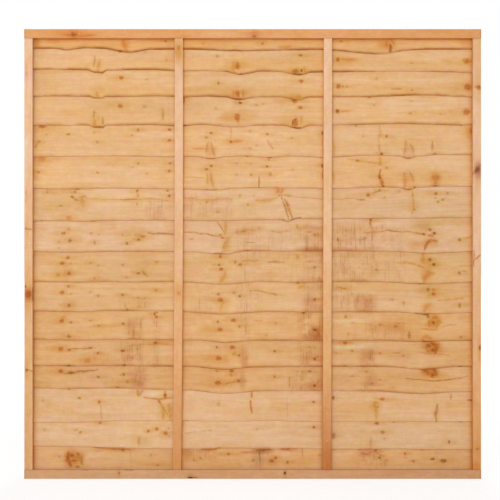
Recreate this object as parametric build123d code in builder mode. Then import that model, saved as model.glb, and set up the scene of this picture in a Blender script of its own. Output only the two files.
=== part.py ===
from build123d import *
import math
import os

# An overlap fence panel: sixteen thin sawn boards that lap one over the next from the top down,
# nailed between a front frame and a back frame of sawn battens.
# Lengths are millimetres. X runs along the panel, Y from its front to its back, and Z is up.
# The origin is at the foot of the left edge, halfway through the thickness.

# Driving dimensions of the panel and its frames
panel_width = 1828.0
panel_height = 1800.0
frame_thickness = 16.0
rail_height = 36.0
stile_width = 33.0
batten_width = 34.0
bay_count = 3

# How far the head of each intermediate batten stands to the right of its foot
left_batten_lean = 7.0
right_batten_lean = 4.0

# Driving dimensions of the boards
board_thickness = 5.5
board_overlap = 25.0
lap_gap = 1.05

# Heights of the courses from the top down, which share out the height of the panel.
# The boards were nailed on by eye, so no two courses are quite alike.
course_steps = [74, 84, 108, 115, 126, 130, 129, 124, 122, 118, 114, 107, 90, 130, 106, 123]

# The lower edge of each board is the outer edge of the log. These are its turning points, the first
# list for the top board: how far along the board as a share of the last place, which is its right end,
# and how far below the course line. The bottom board has a straight edge at the foot of the panel.
waney_edges = [
    [(0, 1), (6.7, 1), (8.9, 7.5), (13.3, -1), (16.6, 1), (23.1, 17.5), (27.5, 5.5), (35, 4.5),
     (47.2, 11), (64.7, 5.5), (77.8, 23.5), (84.8, 7), (88.8, 4.5), (100, 4.5)],
    [(0, 2), (5.6, 0), (13.5, 3), (15.4, 14.5), (16.9, 16.5), (17.9, 4), (27.5, 2), (33.6, 7.5),
     (39.6, 5), (43.3, 8), (47.2, 22), (52, 8.5), (55.5, 9), (60.3, 24), (63, 13), (65, 12),
     (82.2, 8), (92.1, 10.5), (100, 16)],
    [(0, 2), (6.1, 0), (14, 2), (15.3, 8.5), (16.9, 9), (17.7, 2.5), (29.7, -0.5), (34.7, 4),
     (40, 1), (43.9, 4), (46.8, 16), (51.1, 3.5), (56, 3.5), (60.3, 16), (62.1, 5), (65.4, 4), (75.6, 2),
     (87.7, -4), (100, 5)],
    [(0, 1.5), (13.7, 2.5), (15.1, 10.5), (17, 13.5), (17.8, 2.5), (27.5, 0), (34.1, 6.5), (38.5, -0.5),
     (46.1, 9), (52, 1.5), (56.4, 3), (60.3, 16.5), (62.7, 2.5), (68, 1), (83.3, -4), (95.3, 1.5),
     (100, -1)],
    [(0, 4), (7.8, 1), (18.8, -1), (32.6, 3), (37.4, 2), (40.9, 12), (44.1, 2), (48.3, -1.5),
     (53.3, 4), (59.9, 0), (65.8, 6), (75.7, -4), (82.2, 0), (84.2, 10), (86.2, 1), (91, -6),
     (100, -5)],
    [(0, -0.5), (10.7, 2), (16.6, -1), (34.7, 1.5), (41.1, 7), (46.8, -2.5), (60.3, -2.5),
     (66.9, 0), (76.7, -5), (81.8, -4), (84.2, 6), (86.6, -5), (91, -8.5), (100, -8.5)],
    [(0, 3), (7.8, 0.5), (11.8, 3.5), (18.8, -1), (32.6, -1.5), (41.7, 1.5), (50.5, -3),
     (56, -3), (57.7, 5), (59.7, -8), (65.2, -7), (86.6, -9.5), (100, -12)],
    [(0, 0.5), (10.7, 4), (18.8, 1), (37.4, 2), (43.5, 12), (48.7, -1.5), (73.5, -2), (81.1, -1),
     (87.9, 7.5), (100, 0)],
    [(0, -1.5), (10.9, 3), (18.3, -0.5), (23.1, 1.5), (32.6, -0.5), (43.7, 10.5), (52, -0.5),
     (59.9, 2.5), (64.7, -0.5), (76.7, -1), (87.7, 9.5), (100, 2)],
    [(0, -1), (10.7, 2.5), (19.2, -1), (31, 0), (43.3, 12), (53.8, 2.5), (64.7, 4), (71.3, 3),
     (81.1, 4), (87.9, 11.5), (100, 5)],
    [(0, -1), (11.1, 3), (19.9, 0), (37.8, 3), (43.9, 13), (50.5, 4), (77.8, 3.5), (87.5, 10.5),
     (93.2, 5), (100, 5)],
    [(0, -1.5), (11.1, 1), (18.8, -1.5), (35.6, 2), (43.7, 14.5), (50.5, 4.5), (64.7, 2),
     (78.9, 2.5), (87.7, 13), (95.3, 2.5), (100, 4.5)],
    [(0, -3), (10, 0.5), (18.8, -1), (35.2, 6.5), (43.9, 20.5), (52, 10), (65.8, 8.5),
     (75.6, 10), (87.5, 22), (94.2, 14), (100, 12.5)],
    [(0, 7), (10, 6), (21, -0.5), (48.3, 1), (53.8, -2), (60.3, 2), (82.2, 3.5), (100, 3)],
    [(0, -4.5), (12.2, -2), (21, 2), (26.4, 5.5), (36.3, 7), (46.1, 3.5), (52.7, 6.5), (60.3, 5),
     (69.1, 8.5), (82.2, 6), (88.8, 9), (100, 9)],
    [(0, 0), (100, 0)],
]

# Values worked out from the driving dimensions
course_scale = panel_height / sum(course_steps)
course_heights = [step * course_scale for step in course_steps]
narrowest_course = min(course_heights[1:])
lean_room = (board_thickness + lap_gap) * (narrowest_course + board_overlap) / narrowest_course
board_space = board_thickness + lean_room
front_of_boards = -board_space / 2
back_of_boards = board_space / 2

bay_width = (panel_width - 2 * stile_width - (bay_count - 1) * batten_width) / bay_count
left_batten_middle = stile_width + bay_width + batten_width / 2
right_batten_middle = panel_width - left_batten_middle
upright_foot = rail_height
upright_head = panel_height - rail_height

# Where the boards cross the uprights of the front frame, from side to side of each
left_batten_reach = (batten_width + left_batten_lean) / 2
right_batten_reach = (batten_width + right_batten_lean) / 2
crossings = [
    (0, stile_width),
    (left_batten_middle - left_batten_reach, left_batten_middle + left_batten_reach),
    (right_batten_middle - right_batten_reach, right_batten_middle + right_batten_reach),
    (panel_width - stile_width, panel_width),
]


def edge_points(number):
    """The turning points of a board's lower edge, as places along the panel and drops below its line."""
    right_end = waney_edges[number][-1][0]
    return [(place / right_end * panel_width, drop) for place, drop in waney_edges[number]]


def drop_at(points, place):
    """How far the edge is below the course line at one place. It is level at each turning point."""
    for (start, first), (end, last) in zip(points, points[1:]):
        if start <= place <= end:
            along = (place - start) / (end - start)
            return first + (last - first) * along**2 * (3 - 2 * along)
    return points[-1][1]


def lowest_crossing(points):
    """The largest drop of the edge where a board crosses the front frame."""
    drops = []
    for left, right in crossings:
        drops += [drop_at(points, left), drop_at(points, right)]
        drops += [drop for place, drop in points if left < place < right]
    return max(drops)


def course_line(number):
    """The height of a board's lower edge, before its turning points."""
    return panel_height - sum(course_heights[: number + 1])


def board_rise(number):
    """The height of a board from its course line to its upper edge, which the next board covers."""
    cover = board_overlap if number else 0
    return course_heights[number] + cover


def board_lean(number):
    """The angle of a board: its lowest crossing meets the front frame and its top the back frame."""
    return math.atan2(lean_room, board_rise(number) + lowest_crossing(edge_points(number)))


# The frames: rails run the full width, and the stiles and battens stand between them
def upright_outline(middle, width, lean):
    """The four corners of an upright whose head stands to the right of its foot by the lean."""
    foot = middle - lean / 2
    head = middle + lean / 2
    return [
        (foot - width / 2, upright_foot),
        (foot + width / 2, upright_foot),
        (head + width / 2, upright_head),
        (head - width / 2, upright_head),
    ]


def rail_outline(bottom):
    """The four corners of a rail that runs the full width of the panel."""
    top = bottom + rail_height
    return [(0, bottom), (panel_width, bottom), (panel_width, top), (0, top)]


frame_outlines = {
    "top_rail": rail_outline(panel_height - rail_height),
    "bottom_rail": rail_outline(0),
    "left_stile": upright_outline(stile_width / 2, stile_width, 0),
    "left_batten": upright_outline(left_batten_middle, batten_width, left_batten_lean),
    "right_batten": upright_outline(right_batten_middle, batten_width, right_batten_lean),
    "right_stile": upright_outline(panel_width - stile_width / 2, stile_width, 0),
}

# The normal of Plane.XZ points to the front, so each frame is drawn on its face towards the front
frame_faces = {
    "front": Plane.XZ.offset(frame_thickness - front_of_boards),
    "back": Plane.XZ.offset(-back_of_boards),
}

os.makedirs("parts", exist_ok=True)
panel_pieces = []

for side, face in frame_faces.items():
    for name, outline in frame_outlines.items():
        with BuildPart() as batten:
            with BuildSketch(face):
                with BuildLine():
                    Polyline(*outline, close=True)
                make_face()
            extrude(amount=-frame_thickness)
        batten.part.label = f"{side}_{name}"
        panel_pieces.append(batten.part)

# The boards, from the top down. Each is drawn on its front face, which leans back as it rises.
for number in range(len(course_steps)):
    points = edge_points(number)
    lean = board_lean(number)
    if number == 0:
        lean = min(lean, board_lean(1))
    foot_height = course_line(number)
    board_width = board_rise(number) / math.cos(lean)
    if number == len(course_steps) - 1:
        foot_height += board_thickness * math.sin(lean)
    foot_depth = front_of_boards + lowest_crossing(points) * math.tan(lean)
    board_face = Plane(
        origin=(0, foot_depth, foot_height),
        x_dir=(1, 0, 0),
        z_dir=(0, -math.cos(lean), math.sin(lean)),
    )
    with BuildPart() as board:
        with BuildSketch(board_face):
            with BuildLine():
                for (start, first), (end, last) in zip(points, points[1:]):
                    third = (end - start) / 3
                    Bezier((start, -first), (start + third, -first), (end - third, -last), (end, -last))
                Polyline(
                    (panel_width, -points[-1][1]),
                    (panel_width, board_width),
                    (0, board_width),
                    (0, -points[0][1]),
                )
            make_face()
        extrude(amount=-board_thickness)
    board.part.label = f"board_{number + 1:02d}"
    panel_pieces.append(board.part)

for piece in panel_pieces:
    export_step(piece, f"parts/{piece.label}.step")

print(f"boards lie in {board_space:.2f} mm, panel is {board_space + 2 * frame_thickness:.2f} mm thick")
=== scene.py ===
import math

import bpy
import numpy as np
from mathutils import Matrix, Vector


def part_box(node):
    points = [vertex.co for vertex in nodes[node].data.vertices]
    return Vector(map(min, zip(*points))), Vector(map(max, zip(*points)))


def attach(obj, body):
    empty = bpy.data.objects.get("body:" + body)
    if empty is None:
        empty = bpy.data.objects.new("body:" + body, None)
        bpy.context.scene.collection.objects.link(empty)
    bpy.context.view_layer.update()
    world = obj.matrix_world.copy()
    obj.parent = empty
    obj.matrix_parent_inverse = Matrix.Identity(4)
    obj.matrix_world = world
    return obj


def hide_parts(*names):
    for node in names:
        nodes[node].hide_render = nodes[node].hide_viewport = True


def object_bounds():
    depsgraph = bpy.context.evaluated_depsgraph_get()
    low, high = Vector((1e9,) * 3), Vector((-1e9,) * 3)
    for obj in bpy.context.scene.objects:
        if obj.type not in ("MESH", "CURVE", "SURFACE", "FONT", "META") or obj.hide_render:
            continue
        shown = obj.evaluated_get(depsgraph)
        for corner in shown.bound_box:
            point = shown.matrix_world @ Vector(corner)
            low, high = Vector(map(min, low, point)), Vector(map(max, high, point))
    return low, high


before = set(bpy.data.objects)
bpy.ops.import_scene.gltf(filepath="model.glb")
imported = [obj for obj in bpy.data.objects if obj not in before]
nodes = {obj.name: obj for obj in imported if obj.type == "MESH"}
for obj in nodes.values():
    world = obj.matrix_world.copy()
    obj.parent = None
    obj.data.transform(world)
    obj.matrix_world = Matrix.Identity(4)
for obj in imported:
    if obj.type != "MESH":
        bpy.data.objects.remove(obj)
cad_low, cad_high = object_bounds()

panel_width = cad_high.x - cad_low.x
panel_height = cad_high.z - cad_low.z
front_face = cad_low.y
back_face = cad_high.y

# The camera: its place from the middle of the panel's front, and its lens and sensor in millimetres
camera_left_of_middle = 0.0108
camera_above_middle = 0.016
camera_distance = 4.0
camera_lens = 72
camera_sensor = 36
camera_x = panel_width / 2 - camera_left_of_middle
camera_y = front_face - camera_distance
camera_z = panel_height / 2 + camera_above_middle

# The photograph is 500 pixels square, and pixels are counted from the middle of its first one
photo_size = 500
photo_middle = photo_size / 2 - 0.5

# Timber colours, as sRGB values out of 255
timber_tones = {
    "pale": (227, 187, 147),
    "straw": (227, 183, 137),
    "sand": (223, 181, 142),
    "warm": (223, 180, 134),
    "amber": (222, 175, 126),
    "deep": (222, 174, 126),
    "ochre": (228, 180, 127),
    "fresh": (237, 196, 166),
    "cream": (229, 186, 150),
    "sunny": (228, 183, 143),
    "honey": (226, 174, 126),
    "ginger": (224, 163, 108),
    "toffee": (213, 150, 92),
    "russet": (201, 130, 76),
    "fawn": (213, 168, 129),
    "tan": (213, 164, 124),
    "blush": (224, 184, 145),
    "rosy": (226, 184, 143),
}

# The wood that the knots, streaks and stains are matched against, and their colours on it
clean_wood = (226, 178, 128)
inks = {
    "brown": (176, 112, 56),
    "red": (180, 104, 52),
    "ember": (188, 110, 48),
    "dark": (150, 86, 32),
    "soot": (78, 44, 18),
    "purple": (166, 104, 72),
    "orange": (210, 138, 72),
    "gold": (206, 146, 72),
    "moss": (178, 126, 64),
    # painted shade: a neutral brown for the shade in the corners beside the battens and rails
    "painted_shade": (150, 112, 74),
    "olive": (208, 166, 98),
    "grey": (204, 158, 118),
    "faint": (198, 138, 84),
    "pale": (232, 198, 160),
    "rust": (200, 130, 84),
    # dip stain, whose colour also paints the shade under the top rail and beside the battens
    "stain": (196, 118, 50),
}

# How strongly each covers the wood
ink_strengths = {
    "brown": 0.8, "red": 0.82, "ember": 0.85, "dark": 0.8, "soot": 0.8, "purple": 0.65, "orange": 0.72,
    "gold": 0.7, "moss": 0.66, "grey": 0.7, "faint": 0.56, "rust": 0.68,
}

# How dark the bark on each waney edge is, with the painted shade line along its lap, from the top board
# down
bark_and_shade_darkness = [0.82, 0.77, 0.63, 0.45, 0.22, 0.22, 0.22, 0.3, 0.27, 0.29, 0.38, 0.5, 0.36, 0, 0.1, 0]

# The tone of each board from the top down
board_tones = (
    ["ochre"] + ["straw"] * 5 + ["blush", "sand", "warm", "warm", "amber", "amber", "amber"]
    + ["rosy", "pale", "deep"]
)

# The tones along each batten, from its left end or its foot
batten_tones = {
    "top_rail": ["ginger"] * 5,
    "bottom_rail": ["fawn", "fawn", "tan", "tan", "tan"],
    "left_stile": ["honey", "warm", "sunny", "fresh", "fresh"],
    "left_batten": ["toffee", "honey", "sunny", "cream", "cream"],
    "right_batten": ["russet", "honey", "sunny", "cream", "fresh"],
    "right_stile": ["toffee", "honey", "cream", "cream", "sunny"],
}

# Dip stain and painted shade on the boards beside the battens, darkest next to them: its side, its colour,
# its strength at the foot or left end and at the head or right end, and how far it reaches in metres
stains_and_shade_beside_battens = [
    ("top_rail", "foot", "stain", 0.9, 0.9, 0.006),
    ("bottom_rail", "head", "painted_shade", 0.15, 0.15, 0.006),
    ("left_stile", "right", "painted_shade", 0.1, 0.3, 0.014),
    ("left_stile", "right", "stain", 0.8, 0.0, 0.006),
    ("left_batten", "left", "painted_shade", 0.1, 0.1, 0.006),
    ("left_batten", "right", "stain", 0.4, 0.2, 0.007),
    ("right_batten", "left", "stain", 0.8, 0.2, 0.006),
    ("right_batten", "right", "painted_shade", 0.15, 0.1, 0.008),
    ("right_stile", "left", "stain", 0.9, 0.6, 0.007),
]

# How far the left batten bows to the right between its ends
left_batten_bow = 0.0025

# Boards, in metres: their thickness, the eased corners, the bevel of a waney edge, and the layers of its
# roughness, each with its greatest depth and its spacing
board_count = len(board_tones)
board_thickness = 0.0055
eased_corner = 0.0006
waney_bevel = 0.0022
waney_roughness = [(0.0007, 0.018), (0.0006, 0.0075)]

# The underside of a board: how far its back corner is lifted, how far from the front its lowest line is
# as a share of the thickness, and two points of its bevel as shares of it, up and in
under_lift = 0.0001
lowest_line = 0.55
bevel_points = [(0.1, 0.55), (0.45, 0.16)]

# Boards bow between the battens: the number of bays, how far a board bows at most, the spacing of its
# bow, and how quickly that sets in beside a batten
bay_count = 3
board_bow = 0.00035
bow_spacing = 0.16
bow_rise = 2.5

# Battens, in metres: the radius of their corners, the layers of roughness of their sides, and how far
# their front and back are worn
batten_corner = 0.0016
batten_roughness = [(0.00025, 0.05), (0.00015, 0.014)]
face_wear = 0.0004

# The mesh: the columns along a piece, the rows up a board, the steps round a batten, and the angle in
# degrees above which an edge is sharp
column_width = 0.0065
row_height = 0.0055
fewest_rows = 8
batten_step = 0.006
sharp_angle = 50

# Where a point counts as lying at an end, on a side or on a face, and a face as looking to the front
level_tolerance = 0.001
top_tolerance = 0.002
side_tolerance = 0.0005
face_tolerance = 0.0001
faces_front = -0.9

# The layout for the baked texture: its sections, then in metres the margins, the room for the ends and
# the last step round a board, then the share that it fills and its border
bake_sections = 4
bake_margin = 0.004
bake_end_room = 0.03
closing_step = 0.002
bake_share = 0.98
bake_border = 0.01

# Bark on a waney edge, with the painted shade line along the lap: how far up it goes in metres, its
# strength at the edge, its share on the back, and where the back begins as a share of the thickness
bark_and_shade_height = 0.008
bark_and_shade_strength = 1.2
bark_and_shade_behind = 0.3
behind_from = 0.9

# Seeds of the random draws
board_seed = 100
nail_seed = 7
first_place = 3

# Grain: the size and spacing of its wandering, where the pith lies as a share of the width and as a
# depth behind the face, how the rings slope, and how far apart the pieces lie in the noise
grain_wander = [(0.004, 0.31), (0.0015, 0.09)]
pith_shares = (0.25, 0.75)
pith_depths = (0.018, 0.05)
ring_slope = 0.3
seed_range = 40

# Knots bend the grain: the smallest that does, in square pixels, and how long the bend is for its width
smallest_bend = 7
bend_length = 3.2

# Uneven colour along and across a piece: its size and its spacing
shade_along = (0.025, 0.42)
shade_across = (0.015, 0.05)

# The half width of a streak as a share of its width: at its ends, what it swells by in the middle, and
# the three of a straight one. Then its strength, and the size in pixels and spacing of its wavering.
streak_end = 0.28
streak_swell = 0.28
short_streak = (0.3, 0.56, 0.3)
streak_strength = 0.87
waver_across = (0.5, 0.021)
waver_down = (0.55, 0.027)

# The place that a face keeps when it has no knot or streak, in half widths
far_away = 9.0

# Soft patches: how fast they fade and the faintest that counts. Then how soft the edge of the stain and
# painted shade beside a batten is, in metres, and the edge of a patch of saw marks, in pixels and as the
# share it starts with.
patch_fade = 0.7
faintest_patch = 0.01
stain_and_shade_edge = 0.003
sawn_fade = 6
sawn_edge_share = 0.4

# Nails, in metres: their height above a board's lower edge, how near the ends of an upright they come,
# their radius, and how far they stray from their line
nail_height = 0.042
lowest_nail = 0.02
highest_nail = 0.012
nail_radius = 0.0017
nail_stray_x = 0.003
nail_stray_z = 0.004
nail_sides = 12

# The loops of a nail head from its rim: share of the radius and depth under the face. Then its middle.
nail_loops = [(1.0, 0.0012), (0.95, 0.00022), (0.6, 0.0001)]
nail_top = 0.00005

# The nails along each rail, as shares of its length
rail_nails = (0.009, 0.12, 0.225, 0.336, 0.45, 0.56, 0.664, 0.775, 0.885, 0.991)

# The floor: half its width in metres, its grey, and its white glow, whose share grows from near the
# panel to further off: from metres, to metres, from share, to share
floor_reach = 30
floor_grey = 0.86
floor_glow = 1.24
floor_fade = (1.6, 4.0, 0.6, 1.0)
white = (1, 1, 1, 1)

# Lights: the background's strength, then the lamps in metres and watts
world_light = 0.5
lamp_shift = 0.6
lamp_distance = 4.6
lamp_height = 1.7
lamp_size = 3.6
front_power = 127
back_power = 117

# Knots as the photograph shows them: pixels across and down, then the width and height in pixels
knots = {
    "top_rail": {"purple": [(73, 34, 7, 5), (254, 36, 5, 3)]},
    "left_stile": {
        "faint": [(26, 73, 2, 5), (25.5, 192, 2, 4), (25.5, 228, 3, 3)],
        "brown": [(26, 370, 3, 4)],
        "dark": [(25, 286, 2, 3)],
        "red": [(28, 294, 7, 9)],
    },
    "right_stile": {
        "moss": [(477, 448.5, 4, 2.6)],
        "purple": [(477, 169.5, 6, 8)],
        "dark": [(479.6, 347, 3.6, 6.5)],
        "red": [(478.4, 87, 6.4, 5.4)],
    },
    "left_batten": {"orange": [(178, 47, 4, 5)], "faint": [(178, 293, 5, 4)]},
    "bottom_rail": {
        "soot": [(284.5, 472.7, 2.8, 2.8), (189.5, 477, 4.5, 1.8)],
        "brown": [(118.5, 472.6, 2.4, 3)],
    },
    "board_01": {
        "brown": [(165, 40.7, 3.4, 2), (262, 43, 2.4, 2.8)],
        "red": [(120, 50.3, 5, 1.8)],
        "faint": [(203, 43.3, 4, 1.6)],
        "orange": [(386, 44, 3.4, 7)],
        "rust": [(390, 47.5, 4, 7)],
        "ember": [(340.5, 41, 3.2, 2)],
    },
    "board_02": {
        "red": [(120, 51, 5, 2.4), (300, 54.5, 4.6, 3)],
        "brown": [(240.5, 74, 4.4, 2.6), (294.8, 70.8, 8, 5.4)],
        "moss": [(216.7, 55.7, 3, 3)],
        "ember": [(237, 65.3, 5.6, 7.6), (337.4, 59, 4.8, 5), (466.6, 60.4, 8.8, 6)],
        "dark": [(301, 70.3, 3, 3.4)],
        "orange": [(470, 60, 4.4, 4.6)],
        "faint": [(145, 52, 4, 2), (411, 62.5, 4.4, 2.4), (166, 59, 2.4, 4)],
    },
    "board_03": {
        "ember": [(120.7, 77.3, 5.2, 4.6), (237, 93.4, 5.6, 7)],
        "brown": [(218, 82.7, 3, 3)],
        "red": [(300.7, 80.7, 5, 3.8), (337.8, 85.7, 5.2, 5.6), (467.2, 86.5, 8, 7.2),
            (237, 98.4, 10, 2.2)],
        "moss": [(342.3, 86, 3, 3)],
        "gold": [(298, 96.5, 10, 4)],
        "faint": [(146, 79, 3.4, 2.8), (346.5, 86, 4, 3), (376, 78, 3.6, 3.4), (411.5, 89.5, 4, 3)],
    },
    "board_04": {
        "ember": [(119.7, 105.3, 4.8, 4.6), (236.8, 116.8, 6.4, 9), (294.8, 122, 6.6, 9.6)],
        "red": [(294, 100.5, 6.4, 4.4), (300, 107, 4.4, 3.6), (183, 99.5, 3, 8), (465.9, 111.4, 7.6, 6.6)],
        "dark": [(183.6, 125.6, 5.4, 3), (337, 110.6, 4.6, 4), (239.5, 102.4, 3.8, 3)],
        "brown": [(369, 96.6, 3.4, 2)],
        "gold": [(94, 122, 4, 8)],
        "faint": [(144, 106.3, 4.4, 3), (215.3, 108.5, 3, 3), (256, 104.4, 4, 2), (263, 103.4, 3, 2),
            (411, 100.5, 5, 1.6), (440, 113.5, 4, 2.4), (409.7, 113, 3.6, 3), (373.7, 104.5, 3, 3)],
    },
    "board_05": {
        "ember": [(230.4, 141.3, 3.6, 3.6)],
        "moss": [(67.5, 133.6, 4.6, 2.6), (38.7, 141.2, 3.8, 3.2), (96.7, 141.7, 3, 2.8),
            (205.7, 137, 3.2, 2.8), (434, 153.4, 4.4, 2.6), (355.7, 125.3, 3, 2.4)],
        "brown": [(137.5, 129.7, 3, 3), (263, 124.6, 2.4, 1.6), (460, 124.7, 3.4, 1.6),
            (41.5, 126, 8.4, 3.6)],
        "red": [(169, 129.3, 3.2, 3), (169, 139.8, 3.8, 3.2), (210.7, 132.6, 3.8, 2.6),
            (266.7, 133.7, 3, 2.4), (386, 135.7, 3.2, 3)],
        "dark": [(322, 132.5, 3, 3.6), (381.3, 153.2, 3.4, 3)],
        "orange": [(470.5, 130.5, 5, 7)],
        "faint": [(46, 134, 3, 3), (94, 132, 3, 2.6), (131.3, 134.7, 3.2, 2.2), (362.5, 135.7, 3, 2.6),
            (250, 148, 3, 3), (249.5, 130.5, 4, 2.6), (291.5, 137.7, 3, 2.6), (256, 145, 3.4, 2)],
    },
    "board_06": {
        "ember": [(379.3, 176.3, 3.6, 5), (414.2, 187.2, 2.6, 4)],
        "moss": [(38.3, 171.6, 3.8, 3), (97, 172.3, 3.6, 2.6), (250.7, 174.5, 2.8, 2.8),
            (357, 160.1, 3.8, 2.4), (386, 167.2, 3, 2.6), (137.7, 163, 2.6, 2.6)],
        "brown": [(169.5, 162.6, 3, 2.8), (168.7, 170.6, 3, 2.8), (206, 168.7, 3.2, 2.6),
            (247, 155.7, 4, 1.6), (310, 155.6, 3.6, 1.6), (269.5, 156.8, 5, 2), (383.3, 186, 3.6, 2.2)],
        "red": [(210.7, 165.2, 3.4, 2.8), (266.8, 166, 3, 2.8)],
        "dark": [(322, 165.4, 2.8, 3.4), (435, 185.3, 3.6, 1.8)],
        "rust": [(269.7, 173.6, 4.6, 5), (435, 182, 2.8, 4), (435.3, 177, 8.6, 7), (382.2, 182, 3.4, 6)],
        "orange": [(379.5, 163.2, 4.2, 4.4), (268, 159, 4, 3), (41, 158.4, 9, 5.4)],
        "faint": [(132, 166.7, 2.6, 2), (146.5, 173.3, 3.4, 3), (236, 163, 3, 2), (250, 163.3, 3, 2),
            (236.3, 174, 3, 2.6), (292.2, 169, 2.8, 2.4)],
    },
    "board_07": {
        "moss": [(47, 191.6, 2.8, 2.6), (74.6, 191.4, 4, 3), (247.4, 204.2, 2.8, 2.8),
            (437.5, 201.3, 3.4, 2.8), (442.2, 199, 4.2, 2.8), (447.2, 192.6, 3.2, 2.6), (60, 205.2, 5, 2)],
        "dark": [(282.6, 220.1, 3.4, 2.6)],
        "ember": [(136.7, 190.6, 3, 4), (367.6, 194.6, 4.4, 4), (435.4, 193.1, 4, 3.2)],
        "red": [(168.7, 195.2, 3.2, 3.6)],
        "brown": [(167, 190.2, 2.6, 2.4), (379.2, 190.1, 3.8, 2.6), (41, 220.6, 4, 1.6),
            (76.4, 188.8, 7, 2), (71.7, 196.2, 3, 2.6)],
        "orange": [(46.7, 188.9, 3.4, 2), (68.3, 217.3, 7, 5), (137.3, 195, 2.6, 6), (206.5, 201.5, 3.6, 3),
            (277.5, 190.6, 4.4, 6)],
        "faint": [(136.5, 203.6, 3, 4), (239.5, 195.3, 3.6, 4), (253.5, 195.5, 2.6, 2),
            (399, 190.7, 2.6, 2.8), (384.2, 197.2, 2.6, 2.6), (434.7, 197.7, 2.8, 2.4), (217, 211, 4, 3),
            (412, 194.6, 2.6, 4.4), (414, 209, 4, 3)],
    },
    "board_08": {
        "brown": [(63, 232.7, 4.6, 3.2), (69.6, 240.2, 4.2, 4), (126.5, 243, 3.4, 3.2),
            (138.2, 239.2, 4, 3), (220, 234.7, 3, 2)],
        "moss": [(94, 241.8, 2.8, 5), (93, 220.3, 8, 2.4), (314.6, 234.1, 2.8, 2.8)],
        "red": [(221.7, 237.2, 3.2, 2.6), (429.6, 229.3, 4, 3.2), (459.1, 239.2, 3.8, 3.6),
            (247, 250.2, 7, 1.6)],
        "ember": [(370.2, 219.3, 3.6, 3)],
        "dark": [(423, 233.7, 3.8, 2.6), (434, 232.7, 3.6, 3.4)],
        "purple": [(337.4, 239, 2.4, 3.8)],
        "gold": [(68, 228.6, 5, 3.6), (142.5, 236, 5, 3), (297, 225.8, 4.6, 5.4)],
        "faint": [(58.3, 241.6, 3.4, 3), (90.7, 232.6, 2.8, 2.8), (98.2, 234, 3.2, 2.2),
            (122, 234.2, 3.6, 2.6), (309.5, 231.3, 3.6, 2.2), (346, 230, 3, 2), (58.5, 247.5, 3, 2),
            (258.4, 227.6, 2.8, 2.6), (191, 238.6, 5, 2.2)],
    },
    "board_09": {
        "ember": [(67.6, 257.2, 4.8, 2.8), (61.7, 262.7, 5, 3.6), (219.7, 256, 3.6, 3.4)],
        "brown": [(68.6, 272.8, 3.8, 4.4), (138, 272.7, 4, 2.8), (239.6, 264.1, 3.2, 2.8),
            (458.8, 272.6, 3.4, 3.8), (218.6, 264.6, 3.2, 2.6)],
        "rust": [(122.2, 264.6, 3.4, 2.8), (94, 277.6, 2.8, 3.2)],
        "moss": [(234.5, 261.6, 2.8, 3), (314, 266.8, 3.4, 2.4), (376, 269.2, 3.6, 2)],
        "red": [(220.7, 268.6, 4.6, 3.4), (429.6, 259.2, 4.4, 3.4), (297, 282, 3.6, 2.4)],
        "dark": [(433.4, 264, 3.4, 3.4)],
        "orange": [(57.5, 274.3, 5, 4), (156, 261.7, 5, 3)],
        "faint": [(70.2, 263, 3, 2.6), (90, 262.3, 3, 2.4), (98, 264.7, 3.6, 2.6), (126.2, 276.8, 3, 2.8),
            (309, 261.3, 2.8, 2)],
        "gold": [(297.2, 256, 4.2, 4.6)],
    },
    "board_10": {
        "brown": [(68, 285.7, 3, 2.8), (68.6, 305, 3.6, 4.8), (122, 294.2, 3.6, 2.6),
            (218, 293.6, 3.6, 2.8), (239.4, 295.6, 3.2, 3), (127, 309.6, 3, 2.4), (459.2, 304.6, 2.8, 4.6)],
        "ember": [(61.6, 292, 5.6, 4.2), (220, 299.4, 6, 4.4), (314.3, 299.1, 3.6, 3),
            (433.2, 293.6, 4.8, 3.6)],
        "moss": [(97.6, 295.3, 3.2, 2.6), (275, 294, 3, 2)],
        "red": [(297.3, 282.8, 3.6, 2.2)],
        "orange": [(155.4, 289.6, 3.6, 4), (433, 289.4, 5, 4)],
        "purple": [(427.6, 289.2, 4, 4)],
        "gold": [(344.4, 288.2, 5.4, 2.6)],
        "rust": [(233.6, 292, 4.2, 4.6), (391.5, 299, 5, 2.2), (403, 302.5, 3, 4)],
        "faint": [(70, 293.3, 3, 2.4), (90, 291.6, 2.8, 2.4), (138, 297.3, 4, 2), (144, 298, 2.6, 2),
            (139, 306, 2.6, 2), (352, 293.6, 3.4, 2)],
    },
    "board_11": {
        "ember": [(61.2, 320.7, 5.6, 4.4), (219.6, 329.2, 6.4, 4.4), (433, 322.2, 4.6, 4)],
        "brown": [(70.5, 321.8, 3.6, 2.8), (122.5, 323.3, 4.2, 3.2), (154, 313.6, 2.4, 3),
            (68.6, 336, 4.4, 3.6), (217.4, 321.2, 3, 3), (303, 312.5, 5, 2.6), (285, 340.2, 5, 1.8)],
        "red": [(156, 316.4, 3, 3), (233, 319.8, 5.6, 4.2)],
        "moss": [(98, 325.2, 3.2, 2.8), (239.2, 326, 2.8, 3), (345.2, 316.2, 3.6, 4),
            (460.2, 336.6, 3, 3.2)],
        "dark": [(314.6, 329.4, 3.2, 3)],
        "purple": [(408.8, 335, 4, 8), (427.6, 315.8, 4, 4)],
        "orange": [(433.6, 317, 5, 4)],
        "rust": [(90, 320.3, 3.6, 2.2), (380, 324.3, 3.6, 2.4), (395, 326, 5, 4)],
        "faint": [(275.2, 322.8, 3, 2.6), (266, 334.6, 4, 2.6), (348, 333.6, 3.6, 3), (352, 322.3, 4, 1.8),
            (398, 323, 3, 2), (309, 332, 3, 4)],
    },
    "board_12": {
        "ember": [(344.5, 342.3, 4.4, 3.4), (155, 342.2, 4.6, 2.8), (60.2, 348.2, 5.6, 4.8),
            (218, 357.6, 6.8, 5), (428, 345.2, 5.4, 3.6)],
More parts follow.
